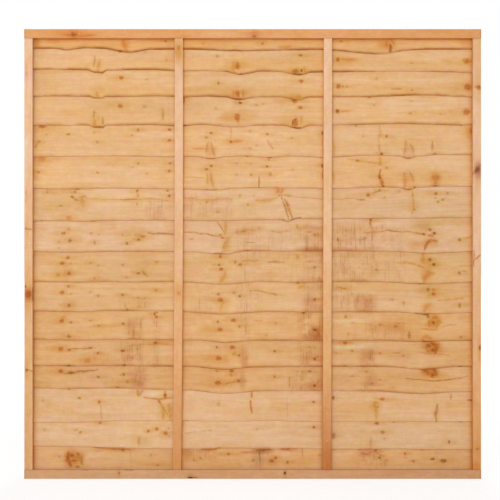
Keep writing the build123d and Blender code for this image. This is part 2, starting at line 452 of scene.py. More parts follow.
        "brown": [(69.1, 349.4, 3.8, 2.8), (90, 347.2, 3.6, 2), (97.6, 352.7, 3, 2.8), (216.3, 346.7, 3, 3),
            (238.4, 354.7, 3.2, 3), (274.2, 350.7, 3.4, 2.8)],
        "dark": [(122.2, 350.3, 4.2, 2.8), (459.5, 366.1, 5, 1.8), (344.6, 366.2, 4.4, 2.4),
            (68.6, 365.8, 3.8, 2.8), (117.6, 366, 3, 2.4), (124, 365.6, 4.2, 3.2)],
        "orange": [(87, 360.3, 7, 6)],
        "red": [(314, 358.2, 3.4, 3), (432.2, 349.8, 3.8, 3.8), (231.8, 346.8, 5.4, 4.2)],
        "gold": [(234, 353.2, 6, 5)],
        "rust": [(317, 356.2, 3, 2), (379.4, 352.8, 3.2, 2.4), (403, 355, 3, 3)],
        "faint": [(308.6, 346.4, 3, 2.6), (336, 352.6, 2.8, 2.4)],
        "moss": [(351.6, 350.2, 3.4, 2.8)],
    },
    "board_13": {
        "red": [(60.2, 370.8, 5.6, 4.4), (217, 382.4, 7.2, 5.4), (432, 375.2, 5.4, 4.6),
            (231.2, 370.4, 4.6, 4)],
        "purple": [(70.2, 372.2, 6.6, 3.6)],
        "brown": [(97.7, 376.4, 4.6, 2.6), (123.2, 373.8, 3.6, 3.2), (238.2, 380.2, 3.8, 3.6),
            (309, 370.8, 4.6, 2.2), (274, 376.2, 2.8, 2.8)],
        "dark": [(314, 385.3, 3.2, 2.8)],
        "moss": [(117, 387, 4, 2.4), (127, 381, 3.6, 3), (216.3, 370.2, 4.6, 2.2), (379.6, 379.3, 3, 2)],
        "rust": [(230.4, 374.2, 4, 3), (352, 375.6, 4, 2), (366, 371.3, 4, 3), (371.5, 383.4, 5, 3)],
        "faint": [(120, 374.4, 2.8, 2.4), (393, 387, 3, 2)],
    },
    "board_14": {
        "moss": [(68.4, 389, 3.4, 2), (186, 420.4, 5, 1.4)],
        "ember": [(79, 397.6, 3.6, 2.8), (164.5, 395.4, 4, 5), (381.6, 398.6, 5.8, 3.4),
            (98.5, 401.6, 3.8, 4)],
        "red": [(313, 401.3, 3.4, 3)],
        "dark": [(332.6, 397.3, 2.8, 4)],
        "brown": [(302, 421.2, 5, 1.6), (275, 420.6, 4, 1.4)],
        "faint": [(42.5, 400, 3.4, 3.4), (218, 403.6, 4, 6), (377.2, 406.2, 2.8, 3.8)],
        "gold": [(375, 402.3, 4.8, 3), (374.2, 405, 3.4, 4)],
        "orange": [(138, 393.5, 4.6, 6.6)],
    },
    "board_15": {
        "red": [(99.5, 422.3, 3.4, 2.8), (148, 430.6, 3.6, 3.2), (156.2, 428.4, 3.8, 3.4),
            (313.3, 426.6, 3.4, 3.2), (376.2, 422.8, 5, 3)],
        "ember": [(165, 432.8, 5, 4.6)],
        "brown": [(79.8, 431.8, 3.4, 2.8), (382.4, 431.7, 4.6, 3.8), (448.6, 441.6, 2.8, 4.4),
            (218, 447.6, 6, 1.8)],
        "purple": [(333, 435, 4.4, 6.4)],
        "moss": [(393, 421.6, 5, 1.4), (460, 421.3, 5, 1.4)],
        "gold": [(75.5, 429.6, 6, 2.8)],
        "faint": [(44, 429, 3.6, 3.4), (168, 428, 2.6, 2.8), (138.5, 440.5, 3.6, 8), (209.4, 430, 3.6, 2.4),
            (256.4, 428.6, 3.4, 2.4), (384, 438, 2.4, 3), (168.5, 435.4, 2.8, 3.4)],
    },
    "board_16": {
        "dark": [(432, 458.4, 4.8, 3.2), (442.6, 460.3, 6.8, 4.4)],
        "purple": [(77, 466.3, 5, 2.6), (71.5, 454.8, 5, 4)],
        "ember": [(228, 453.7, 4.6, 2.8), (275, 457.4, 3.6, 3.4), (404.6, 453.2, 2.8, 2.8)],
        "brown": [(287, 461.8, 2.8, 3.2), (375.4, 449.7, 4, 2.4), (379, 457.2, 3.4, 3),
            (413, 460.7, 3.4, 2.8), (122.6, 449.7, 3.8, 2.8)],
        "red": [(271.2, 460.4, 6, 4)],
        "moss": [(157, 464.8, 4.4, 2), (252.5, 459.6, 3.4, 3), (422, 449.2, 5, 1.4)],
        "grey": [(333, 448.8, 4, 2)],
        "faint": [(59, 456, 3.4, 3), (150.4, 454.4, 2.8, 2.8), (193.2, 459.7, 3.4, 3), (200, 457.5, 3, 3),
            (319, 454.6, 3, 2), (382.4, 455.6, 2.8, 2.4), (386, 459.5, 3, 3), (405, 457.3, 4, 2)],
    },
}

# Streaks and cracks: the width in pixels, then pixels across and down of each point that they follow
streaks = {
    "board_01": {
        "orange": [(5, 123, 41, 125, 49), (2.6, 278, 47, 290, 46), (2.4, 391, 40, 394, 44)],
        "purple": [(3, 390, 44, 389.6, 52)],
    },
    "board_02": {
        "moss": [(2, 94, 56, 93.6, 66)],
        "gold": [(3, 99, 60, 98, 70), (2.4, 304, 66, 305, 71), (3, 233, 61, 232.6, 68, 235, 72)],
        "orange": [(3, 341, 59, 356, 58.6)],
        "dark": [(1.6, 291, 73.3, 296, 74, 301, 73.4)],
    },
    "board_03": {
        "orange": [(2.8, 96, 91, 98, 97)],
        "moss": [(1.6, 391, 88, 401, 88)],
        "gold": [(3, 242, 89, 243, 96), (2.6, 233, 90, 233, 96)],
    },
    "board_04": {
        "moss": [(2, 93, 110, 93.5, 117), (2.4, 102.4, 117, 102.8, 124), (1.8, 162, 109, 162.5, 119)],
        "brown": [(1.8, 94, 126.8, 104, 126.4), (1.5, 297.5, 117.5, 293, 120, 291.5, 126)],
        "dark": [(1.6, 290, 126.8, 295, 127.5, 300, 127.6)],
        "orange": [(2, 340, 110.5, 352, 110)],
        "gold": [(3, 301, 117, 301, 124), (2, 34.5, 126, 37, 131)],
    },
    "board_05": {
        "orange": [(2, 192, 147.5, 199, 148.3, 206, 148), (2, 230.5, 128, 230.5, 138),
            (2.4, 233, 142, 238, 140.5, 243, 139.5), (2.6, 322.7, 136, 323, 154)],
        "rust": [(2.4, 208, 142, 206.5, 146, 206, 151), (2.6, 210.5, 142, 212, 149, 215, 157),
            (2.6, 267, 140, 269.5, 144, 272, 148), (2, 410, 144, 412.5, 149, 414.5, 156),
            (2.2, 405, 147, 404, 155)],
        "gold": [(3, 379.5, 126, 379, 138), (2.4, 378.5, 139, 378.5, 146, 379.5, 152),
            (2.6, 333.5, 143, 334, 155), (3.4, 405.5, 141, 404.6, 148)],
        "moss": [(2, 432, 141, 431.5, 150), (2, 37, 143, 34.5, 147)],
        "ember": [(1.6, 205, 158, 210, 158.8, 216, 157.2), (1.4, 402.5, 156, 406, 157.8, 413, 157.6)],
    },
    "board_06": {
        "gold": [(2.6, 207, 173, 207, 182), (2.8, 212.5, 181, 213, 188), (1.6, 184, 176.7, 204, 177),
            (1.8, 346, 158.5, 357, 160.2, 370, 161.5, 378, 162), (2.6, 332.5, 172, 333.5, 182),
            (3, 379.3, 155, 379.4, 161)],
        "rust": [(2.6, 210.5, 173, 211.5, 182), (2, 409, 171.5, 412, 176, 413, 182),
            (3.4, 404, 173, 404.5, 187)],
        "ember": [(2.6, 379.5, 169, 379.2, 176, 381, 181, 383, 187), (2.2, 322.5, 168, 322.5, 178)],
        "dark": [(1, 258.7, 176, 258.8, 188)],
        "brown": [(1.4, 402.5, 187.5, 406, 189.4, 413, 189.2), (1.4, 205, 188.6, 211, 189.6, 217, 188.6)],
    },
    "board_07": {
        "moss": [(1.8, 71, 195.5, 74.5, 198.8, 79, 199.3), (2.4, 79, 196.2, 86, 195.6),
            (2.6, 284, 194.8, 292, 195.4), (1.8, 372, 193, 378, 190.6)],
        "gold": [(4, 80.5, 197, 82.5, 205), (1.6, 85, 197.8, 100, 199, 119, 199.5),
            (1.6, 137, 199, 150, 198.6, 168, 199.8), (2, 196, 199, 215, 199, 232, 198.7),
            (3.4, 256, 200, 262, 200.6, 270, 199, 278, 196.5), (1.6, 332, 198.4, 345, 198.3, 354, 198.6),
            (2, 412.4, 190, 412.3, 199, 413.5, 209, 411, 215)],
        "brown": [(1.6, 119, 199.4, 128, 199, 138, 198.8), (1.4, 354, 198.7, 364, 199),
            (1.2, 283, 188, 280.5, 193.5), (1.3, 277, 195.4, 283, 195),
            (1.8, 281, 197, 283, 203, 286, 209, 288, 219)],
        "orange": [(2.2, 184, 197.3, 197, 198.7), (1.6, 258, 200.6, 268, 199.6)],
        "ember": [(3, 284, 199, 287, 204.5, 289, 210, 291.5, 217)],
        "rust": [(1.2, 292, 196, 305, 197.5, 322, 198.6)],
        "dark": [(1.8, 290, 219, 295, 218.3, 300, 217.3)],
    },
    "board_08": {
        "brown": [(1.7, 147, 232.6, 155, 233.2, 165, 233.6, 174, 233.2),
            (1.3, 217, 221, 219.3, 225.5, 223.3, 231.5), (1.8, 385, 230, 391, 230.3, 397, 230.6),
            (1.4, 227, 239.5, 224.5, 243.5, 222, 250), (1.6, 213, 253, 219, 252.6, 225, 253)],
        "ember": [(1.4, 184, 232, 195, 232, 205, 233.6, 214, 235.6, 219, 236.2),
            (2.2, 370.2, 219, 370, 224), (2, 428, 234.6, 433, 235), (1.6, 235, 232, 246, 230.4),
            (2.8, 437, 240.5, 431, 239.5, 427.5, 241, 425.5, 245, 424.5, 249)],
        "orange": [(1.8, 362, 232, 374, 231.6, 385, 230.3)],
        "gold": [(3, 225.7, 221, 224.8, 228, 224.6, 234), (5.5, 228, 239, 225.5, 245, 222.5, 252),
            (3.4, 236, 231.4, 246, 230, 255, 230), (2.2, 270, 231, 278, 231.6, 288, 230.6),
            (1.8, 463, 238, 468, 237.2, 473, 235.4), (4, 144, 236.5, 135, 234)],
        "moss": [(1.4, 358, 239, 362, 238.6, 366.5, 237), (1.2, 274, 231.6, 281, 231.6),
            (1.2, 245, 242, 256, 242), (1.6, 397, 230.6, 406, 231.2, 415, 232, 422, 233.3)],
    },
    "board_09": {
        "moss": [(2.6, 142, 270, 144, 273, 147, 275.3), (2, 267, 261.8, 274, 261.8, 283, 261.5),
            (1.4, 461, 271, 466, 270.6)],
        "gold": [(4, 225, 272, 223, 277, 218.5, 283), (1.8, 458, 266, 464, 265.3, 471, 264.8),
            (4, 422.5, 253, 422, 262), (2.6, 241, 261, 248, 260.3, 258, 259.6)],
        "dark": [(1.4, 418, 283, 425, 283.6)],
        "orange": [(2.2, 396, 262, 405, 262, 412, 263, 418, 264.8, 423, 266.5),
            (5.6, 433, 272.3, 428, 272.6, 424.5, 276, 424, 282)],
    },
    "board_10": {
        "gold": [(2, 124, 302, 127, 309), (3, 223, 302, 220, 310), (3, 298, 287, 303, 285.4),
            (2, 338, 287, 345, 288.3)],
        "brown": [(1.6, 414, 312.6, 422, 313.6, 430, 313.2)],
        "moss": [(1.6, 249, 290.6, 256, 290.2, 263, 291.5, 270, 293, 274, 293.6)],
        "orange": [(2.4, 437, 299.6, 445, 299.4, 453, 298.8, 463, 298),
            (5, 431, 303.6, 427, 306, 424, 311)],
    },
    "board_11": {
        "brown": [(1.6, 158, 311.5, 155, 312.5, 154.5, 315), (2, 421, 339, 425, 341.4, 431, 341.8)],
        "gold": [(3, 60, 318, 65, 316.5), (4, 436, 316, 438.4, 321, 436, 327)],
        "rust": [(1.2, 254, 320, 262, 320.3), (1.3, 421, 328, 428, 328.8, 436, 329.4),
            (1.3, 440, 326.5, 455, 323.5), (3, 317, 329, 319, 336)],
        "orange": [(3, 422, 337.6, 426, 336, 431, 338), (2.4, 428, 320, 429, 327)],
        "dark": [(1.4, 421, 313.7, 428, 314)],
    },
    "board_12": {
        "ember": [(4, 431, 342.5, 436.5, 346, 435, 353)],
        "gold": [(1.4, 128, 345, 150, 344, 170, 343.3), (3, 438.5, 343, 439, 347),
            (2.4, 425, 347, 429, 353.5)],
        "brown": [(1.1, 72, 348.2, 85, 348.6, 92, 347)],
        "rust": [(1.3, 418, 351, 426, 353, 436, 354, 450, 354), (1.4, 392, 352.2, 400, 352.4)],
    },
    "board_13": {
        "brown": [(2, 63, 373, 72, 372.2, 82, 371, 90, 369.7, 97, 369.6),
            (1.2, 405, 378.6, 420, 379, 428, 380.6, 434, 381.2, 441, 380, 456, 378, 468, 375.6)],
        "ember": [(3, 418, 367.6, 423, 370, 427, 371), (4.4, 429, 367.5, 433, 368, 435, 372)],
        "moss": [(1.2, 289, 376, 288.6, 386), (1, 300, 374, 300.6, 381), (3.2, 435.6, 371, 436, 376)],
        "rust": [(1.6, 315, 384, 319, 379.5), (1.5, 222, 384, 230, 382, 236, 381)],
        "gold": [(3, 427, 370, 427.5, 374)],
    },
    "board_14": {
        "gold": [(2, 136.5, 390, 137, 395.5), (3.4, 160, 403, 163, 410, 162, 419),
            (4, 375, 407, 375.4, 417), (5, 168, 405, 170, 419)],
        "moss": [(1.6, 142, 390, 138.5, 396), (2, 159.5, 402.5, 162.5, 407, 167, 415),
            (1.8, 450.6, 393, 449.6, 398.4)],
        "ember": [(1.8, 143, 397.6, 150, 398, 158, 398.6, 165, 397.8, 172, 397.7),
            (2.6, 157, 399, 160, 403), (2, 164, 391, 164.4, 396), (2.4, 251.2, 391, 250.6, 396.4),
            (2.4, 249.6, 400, 250, 405, 251, 412)],
        "brown": [(2.6, 436.6, 404, 436, 409, 434.8, 414, 435.4, 421)],
        "dark": [(1.7, 467, 400, 473, 400.2)],
        "faint": [(2.4, 100, 405, 100.6, 418)],
        "grey": [(1, 286.4, 396, 286.6, 420)],
    },
    "board_15": {"faint": [(1.4, 184, 432.6, 192, 432, 206, 430), (3, 370, 438, 370.4, 447)]},
    "board_16": {
        "ember": [(4, 68, 452, 67.5, 459, 70, 465), (2, 201, 449, 208, 449.2, 216, 448.8),
            (1.8, 281, 448.4, 289, 448.4)],
        "brown": [(1.8, 69, 461, 73, 459.6, 76, 460.6), (1.5, 93, 447.2, 110, 448, 130, 449.4),
            (2, 256, 449.6, 263, 449.4, 270, 448.6)],
        "moss": [(4, 77, 452.5, 80.5, 457, 81.4, 464), (1.2, 302, 448, 302.2, 457),
            (1.6, 259, 450, 259.6, 462)],
        "rust": [(2.6, 358, 448.6, 370, 449), (1.6, 360, 452, 370, 455), (1.4, 364, 456, 372, 451),
            (1.4, 372, 450, 380, 455), (2, 241, 452, 254, 451.6), (1.4, 292, 448.6, 297, 448.6)],
        "grey": [(1.2, 130.6, 449, 130.8, 467)],
    },
    "right_stile": {
        "red": [(1.4, 473.3, 250, 473.5, 266), (1.6, 474, 259, 480, 254)],
        "purple": [(3, 473, 173, 477, 169, 480.5, 164)],
        "orange": [(2.6, 473, 87, 480, 86)],
    },
    "left_stile": {
        "brown": [(1.6, 25.5, 228, 31, 229), (1.4, 25.5, 368.5, 32, 371), (1.8, 32.4, 287, 32.4, 300)],
    },
    "top_rail": {
        "orange": [(3, 64, 34, 80, 35.5, 96, 35), (2, 182, 35, 191, 35.4)],
        "purple": [(1.6, 72, 31, 73, 37)],
    },
    "bottom_rail": {
        "brown": [(1, 83, 469.4, 88, 469.4), (1.2, 124, 469.6, 133, 469.6)],
        "dark": [(1.2, 190, 477.2, 197, 477.4)],
    },
}

# Soft patches of each colour: middle, half width and half height in pixels, and strength.
# The wide ones are bands along the grain.
board_patches = {
    "gold": [(64, 42, 40, 6, 0.12), (250, 64.5, 240, 5.5, 0.18), (440, 65, 35, 5, 0.08),
        (98, 66, 5, 8, 0.2), (237, 67, 8, 8, 0.1), (250, 90, 240, 5, 0.12), (129, 90, 36, 6, 0.14),
        (283, 91, 30, 4, 0.1), (97, 91, 6, 7, 0.2), (237, 93, 9, 8, 0.1), (435, 114, 30, 4.5, 0.18),
        (95, 121, 5, 7, 0.3), (435, 147, 6, 6, 0.16), (64, 184, 35, 4, 0.1), (129, 162, 38, 4, 0.12),
        (210, 178, 5, 8, 0.2), (62, 202, 30, 10, 0.22), (130, 199.5, 50, 2.5, 0.25), (81, 203, 7, 9, 0.25),
        (210, 199, 28, 2.5, 0.2), (413, 206, 5, 9, 0.2), (66, 237, 14, 9, 0.22), (133, 234, 15, 9, 0.32),
        (106, 228, 12, 5, 0.12), (226, 243, 5, 9, 0.3), (226, 228, 5, 7, 0.15), (246, 230.5, 12, 3.5, 0.2),
        (452, 221, 22, 4, 0.14), (62, 272, 10, 7, 0.25), (143, 266, 14, 5, 0.25), (140, 257, 14, 4, 0.15),
        (440, 262, 32, 9, 0.12), (425, 266, 6, 13, 0.3), (223, 277, 5, 6, 0.25), (390, 263, 28, 3, 0.15),
        (429, 291, 9, 7, 0.3), (445, 288, 28, 8, 0.12), (360, 286, 40, 4, 0.12), (135, 302, 14, 6, 0.12),
        (222, 305, 6, 6, 0.2), (301, 287, 6, 4, 0.2), (68, 304, 7, 7, 0.2), (433, 322, 7, 8, 0.4),
        (395, 326, 34, 8, 0.2), (110, 325, 14, 2, 0.2), (130, 316, 38, 4, 0.1), (208, 329, 8, 4, 0.2),
        (434, 349, 8, 7, 0.35), (236, 352, 8, 7, 0.15), (120, 382, 14, 5, 0.2), (234, 377, 6, 5, 0.2),
        (42, 384, 10, 4, 0.25), (226, 383, 10, 3, 0.15), (296, 71, 10, 4.5, 0.4), (295, 97, 8, 3.5, 0.45),
        (431, 263, 7, 5, 0.3), (62, 406, 28, 5, 0.12), (352, 408, 22, 8, 0.26), (278, 407, 9, 6, 0.2),
        (305, 405, 14, 4, 0.12), (168, 411, 6, 8, 0.35), (161, 410, 4, 8, 0.2), (375, 406, 5, 6, 0.3),
        (436, 412, 4, 9, 0.2), (220, 425, 160, 2.5, 0.1), (144, 441, 9, 5, 0.1), (79, 459, 5, 8, 0.4),
        (356, 459, 10, 6, 0.2), (228, 462, 24, 3, 0.15), (300, 460, 22, 5, 0.14), (400, 463, 30, 3, 0.14),
        (150, 463, 22, 2.5, 0.2)],
    "pale": [(283, 43, 40, 6, 0.25), (250, 53, 70, 4, 0.25), (270, 79, 240, 4.5, 0.18),
        (250, 104, 240, 6, 0.2), (250, 135, 240, 4, 0.15), (415, 149, 60, 7, 0.2), (430, 174, 45, 14, 0.2),
        (235, 180, 60, 5, 0.14), (283, 160, 35, 4, 0.15), (125, 211, 40, 7, 0.15), (440, 211, 30, 7, 0.2),
        (283, 240, 45, 7, 0.22), (400, 222, 18, 4, 0.2), (129, 268, 38, 8, 0.08), (460, 281, 12, 2, 0.1),
        (64, 317, 32, 3, 0.12), (440, 321, 30, 4, 0.18), (306, 327, 3, 8, 0.3), (64, 361, 30, 5, 0.14),
        (163, 350, 10, 4, 0.35), (270, 355, 26, 7, 0.14), (195, 348, 16, 3, 0.3), (360, 346, 30, 3, 0.2),
        (455, 345, 16, 5, 0.12), (64, 379, 34, 8, 0.1), (270, 379, 22, 8, 0.12), (152, 393, 10, 2.5, 0.6),
        (360, 371, 34, 3, 0.3), (430, 385, 35, 3, 0.1), (350, 292.5, 22, 2, 0.5),
        (352, 320.5, 22, 2.2, 0.6), (350, 347, 20, 2.2, 0.6), (250, 395, 240, 5, 0.22),
        (100, 417, 70, 3, 0.14), (415, 417, 60, 3, 0.12), (400, 438, 70, 9, 0.12), (129, 457, 38, 6, 0.16),
        (92, 454, 8, 4, 0.3)],
    "orange": [(124, 44, 5, 6, 0.25), (286, 46, 9, 3, 0.25), (386, 44, 9, 5, 0.35), (466, 41, 9, 5, 0.3),
        (54, 41, 7, 3, 0.25), (372, 59, 24, 3, 0.14), (374, 85.5, 28, 2.5, 0.14), (226, 117, 8, 4, 0.2),
        (237, 117, 8, 9, 0.06), (68, 112, 9, 3, 0.12), (240, 143, 14, 8, 0.14), (41, 128, 8, 4, 0.2),
        (470, 131, 5, 8, 0.3), (250, 140, 14, 3, 0.1), (210, 151, 5, 6, 0.32), (41, 160, 8, 5, 0.2),
        (34.5, 174, 4, 6, 0.3), (396, 177, 14, 5, 0.14), (408, 180, 6, 9, 0.28), (435, 177, 6, 6, 0.3),
        (62, 191, 16, 4, 0.2), (68, 216, 8, 6, 0.12), (278, 191, 5, 6, 0.2), (170, 203, 4, 6, 0.2),
        (262, 200, 10, 3, 0.2), (416, 245, 8, 5, 0.35), (431, 239, 8, 4, 0.3), (371, 232, 14, 2.5, 0.12),
        (427, 276, 6, 6, 0.25), (427, 307, 6, 5, 0.2), (220, 300, 9, 6, 0.06), (62, 292, 8, 5, 0.06),
        (425, 338, 8, 3.5, 0.3), (61, 321, 8, 5, 0.08), (222, 328, 9, 5, 0.08), (87, 360, 8, 6, 0.2),
        (60, 348, 8, 6, 0.1), (218, 357, 9, 7, 0.12), (344, 343, 7, 3, 0.25), (195, 358, 18, 5, 0.1),
        (62, 371, 11, 5, 0.15), (430, 371, 9, 5, 0.35), (218, 382, 9, 6, 0.08), (435, 180, 5, 6, 0.25),
        (433, 321, 5, 6, 0.3), (450, 408, 8, 5, 0.12), (165, 433, 6, 5, 0.2), (370, 443, 5, 5, 0.15),
        (272, 460, 6, 5, 0.3)],
    "stain": [(35, 42, 4, 5, 0.4)],
    "rust": [(409, 150, 6, 7, 0.28), (155, 191, 7, 5, 0.14), (398, 209, 26, 8, 0.06),
        (356, 248.5, 27, 3, 0.22), (311, 237, 13, 12, 0.12), (312, 227, 12, 2, 0.3), (271, 275, 6, 4, 0.2),
        (312, 262, 13, 14, 0.08), (364, 303, 11, 8, 0.4), (312, 304, 12, 8, 0.3), (310, 337, 14, 3, 0.3),
        (132, 329, 8, 11, 0.12), (366, 357, 7, 9, 0.3), (312, 360, 12, 6, 0.2), (243, 357, 3.5, 10, 0.3),
        (137, 378, 9, 9, 0.42), (372, 380, 5, 6, 0.3), (316, 384, 8, 6, 0.3), (306, 386, 18, 4, 0.15),
        (394, 329, 12, 6, 0.22), (400, 357, 13, 6, 0.14), (245, 444, 65, 3, 0.1), (367, 452, 11, 4, 0.3),
        (245, 452, 10, 2.5, 0.12), (296, 450, 8, 2, 0.15), (112, 449, 22, 2, 0.2)],
    "moss": [(422, 225, 9, 5, 0.22)],
    "olive": [(430, 224, 9, 6, 0.3)],
    "red": [(312, 249, 12, 2.5, 0.3), (312, 280, 12, 3, 0.15), (357, 280, 7, 2.5, 0.12),
        (316, 333, 6, 7, 0.3), (187, 452, 5, 4, 0.25), (286, 449, 7, 2, 0.3)],
    "brown": [(242, 381, 3, 8, 0.25), (263, 450, 10, 3, 0.5)],
    "ember": [(431, 243, 7, 5, 0.15), (430, 346, 8, 5, 0.4), (430, 371.5, 7, 3, 0.5), (71, 458, 7, 8, 0.45),
        (206, 450, 10, 2, 0.25)],
    "grey": [(258, 458, 5, 8, 0.7)],
}
batten_patches = {
    "red": [(327, 458, 7, 14, 0.16), (28, 294, 6, 7, 0.4)],
    "orange": [(178, 50, 5, 6, 0.3), (73, 34, 22, 4, 0.45), (28, 66, 6, 9, 0.2), (476, 466, 5, 4, 0.35),
        (178, 290, 5, 7, 0.2)],
    "gold": [(178, 50, 6, 14, 0.35)],
    "rust": [(254, 35, 9, 4, 0.35)],
    "pale": [(220, 34, 14, 5, 0.35)],
    "purple": [(478, 170, 4, 8, 0.5)],
    "grey": [(420, 472, 50, 5, 0.12)],
}

# Saw marks cross the boards in upright lines, and dirt picks them out in places: left, top, right, foot
# and strength
sawn_patches = [
    (126, 318, 143, 340, 0.75), (121, 342, 142, 367, 0.95), (133, 368, 145, 387, 1.15),
    (153, 320, 159, 367, 0.75), (240, 300, 250, 368, 0.4), (300, 223, 323, 282, 0.5),
    (303, 284, 323, 312, 0.75), (298, 313, 323, 341, 0.75), (298, 342, 323, 367, 0.7),
    (288, 369, 323, 391, 0.5), (331, 222, 384, 250, 0.65), (331, 252, 378, 281, 0.55),
    (331, 284, 352, 312, 0.6), (353, 294, 375, 312, 0.7), (380, 226, 404, 281, 0.3),
    (146, 198, 168, 219, 0.55), (180, 192, 232, 219, 0.35), (236, 226, 262, 312, 0.35),
    (262, 228, 300, 280, 0.2), (366, 320, 376, 341, 0.8), (376, 322, 404, 341, 0.4),
    (362, 348, 376, 367, 0.8), (364, 370, 370, 391, 0.8), (192, 298, 214, 312, 0.35),
    (186, 449, 216, 460, 0.5), (252, 449, 270, 467, 0.6), (358, 449, 388, 466, 0.6),
    (160, 104, 176, 122, 0.3), (70, 343, 118, 366, 0.15), (134, 436, 150, 447, 0.3),
    (118, 298, 150, 311, 0.35), (331, 245, 385, 250, 1), (303, 246, 323, 251, 1), (303, 277, 323, 281, 0.8),
    (350, 277, 364, 281, 0.8), (180, 200, 200, 212, 0.45), (304, 322, 323, 341, 1),
]


def linear(colour):
    """A colour of sRGB values out of 255 as the shader's linear values."""
    share = np.asarray(colour, float) / 255
    return np.where(share <= 0.04045, share / 12.92, ((share + 0.055) / 1.055) ** 2.4)


def tint(name):
    """What an ink leaves of the light that clean wood gives back. Half a tint is its square root."""
    return linear(inks[name]) / linear(clean_wood)


def pixels_in_metre(depth):
    """How many of the photograph's pixels a metre takes, that far behind the camera's plane."""
    return photo_size * camera_lens / camera_sensor / (depth - camera_y)


def wander(places, spacing, rng):
    """Smooth random values between -1 and 1 along a line, with a new one at every spacing."""
    count = int(np.max(places) / spacing) + 3
    values = rng.uniform(-1, 1, count)
    steps = places / spacing
    index = np.clip(np.floor(steps).astype(int), 0, count - 2)
    share = steps - index
    share = share * share * (3 - 2 * share)
    return values[index] * (1 - share) + values[index + 1] * share


def wear_along(places, layers, rng):
    """How far an edge is worn in along a line, by layers of a greatest depth and a spacing."""
    return sum(depth * (1 + wander(places, spacing, rng)) / 2 for depth, spacing in layers)


def read_array(items, name, width, kind=np.float32):
    """A property of a mesh's points, corners or faces as an array."""
    values = np.zeros(len(items) * width, kind)
    items.foreach_get(name, values)
    return values.reshape(-1, width) if width > 1 else values


def fill_attribute(mesh, name, domain, values, colour=False):
    """Stores an array of vectors or colours on the points or corners of a mesh."""
    attribute = mesh.attributes.new(name, "FLOAT_COLOR" if colour else "FLOAT_VECTOR", domain)
    if colour:
        values = np.column_stack([values, np.ones(len(values))])
    attribute.data.foreach_set("color" if colour else "vector", values.astype(np.float32).ravel())


def add_object(name, data):
    """Puts a mesh, a lamp or a camera into the scene."""
    thing = bpy.data.objects.new(name, data)
    bpy.context.scene.collection.objects.link(thing)
    return thing


def node_points(name):
    """The points of a CAD node."""
    return np.array([vertex.co for vertex in nodes[name].data.vertices])


def upright_sides(name):
    """The left edge of an upright at its foot and head, its width, and the heights of both."""
    points = node_points(name)
    low = points[:, 2].min()
    high = points[:, 2].max()
    foot = points[points[:, 2] < low + level_tolerance, 0]
    head = points[points[:, 2] > high - level_tolerance, 0]
    return foot.min(), head.min(), foot.max() - foot.min(), low, high


def marks_of(table, name):
    """The knots or streaks of a piece, with the colour of each, from a table of them by colour."""
    found = []
    for ink, places in table.get(name, {}).items():
        found += [(ink, *place) for place in places]
    return found


def streak_runs(name):
    """The straight runs of a piece's streaks: colour, start, end, and half width at each end.

    A streak is widest in its middle and narrows to its ends.
    """
    runs = []
    for ink, width, *numbers in marks_of(streaks, name):
        points = list(zip(numbers[::2], numbers[1::2]))
        count = len(points) - 1
        turns = [math.pi * place / count for place in range(count + 1)]
        halves = [width * (streak_end + streak_swell * math.sin(turn)) for turn in turns]
        if count == 1:
            middle = tuple((first + last) / 2 for first, last in zip(*points))
            points = [points[0], middle, points[1]]
            halves = [width * share for share in short_streak]
        for start, end, first, last in zip(points, points[1:], halves, halves[1:]):
            runs.append((ink, start, end, first, last))
    return runs


def knot_places(found):
    """A function for where a point lies in a chosen knot, in half sizes of the knot."""
    middles = np.array([knot[1:3] for knot in found])
    halves = np.array([knot[3:5] for knot in found]) / 2

    def places(across, down, chosen):
        gap_across = across - middles[chosen, 0]
        gap_down = down - middles[chosen, 1]
        return gap_across / halves[chosen, 0], gap_down / halves[chosen, 1]

    return places


def streak_places(found):
    """A function for how far a point is past a chosen run and beside it, in half widths of the run."""
    starts = np.array([run[1] for run in found], float)
    runs = np.array([run[2] for run in found], float) - starts
    lengths = np.hypot(runs[:, 0], runs[:, 1])
    runs = runs / lengths[:, None]
    first_halves = np.array([run[3] for run in found])
    last_halves = np.array([run[4] for run in found])

    def places(across, down, chosen):
        gap_across = across - starts[chosen, 0]
        gap_down = down - starts[chosen, 1]
        run = gap_across * runs[chosen, 0] + gap_down * runs[chosen, 1]
        side = gap_down * runs[chosen, 0] - gap_across * runs[chosen, 1]
        within = np.clip(run, 0, lengths[chosen])
        share = within / lengths[chosen]
        half = first_halves[chosen] * (1 - share) + last_halves[chosen] * share
        return (run - within) / half, side / half

    return places


def fill_marks(mesh, kind, found, make_places, strength, faces, corners, corner_faces):
    """Stores each face's place in its nearest knot or streak, and the strength and colour of that mark.

    faces and corners are their places in the photograph, as pixels across and pixels down.
    """
    offsets = np.full((len(corner_faces), 3), far_away)
    offsets[:, 2] = 0
    colours = np.zeros((len(corner_faces), 3))
    if found:
        places = make_places(found)
        first, second = places(faces[0][:, None], faces[1][:, None], np.arange(len(found)))
        nearest = np.argmin(first**2 + second**2, axis=1)[corner_faces]
        offsets[:, 0], offsets[:, 1] = places(*corners, nearest)
        offsets[:, 2] = np.array([strength * ink_strengths[mark[0]] for mark in found])[nearest]
        colours = np.array([tint(mark[0]) for mark in found])[nearest]
    fill_attribute(mesh, kind, "CORNER", offsets)
    fill_attribute(mesh, kind + "_ink", "CORNER", colours, colour=True)


def lay_patches(tone, table, across, down):
    """Colours the wood with the soft patches of a table."""
    for ink, patches in table.items():
        for middle_across, middle_down, half_width, half_height, strength in patches:
            reach = ((across - middle_across) / half_width) ** 2
            reach += ((down - middle_down) / half_height) ** 2
            share = strength * np.exp(-reach * reach * patch_fade)
            if share.max() > faintest_patch:
                tone = tone * tint(ink) ** share[:, None]
    return tone


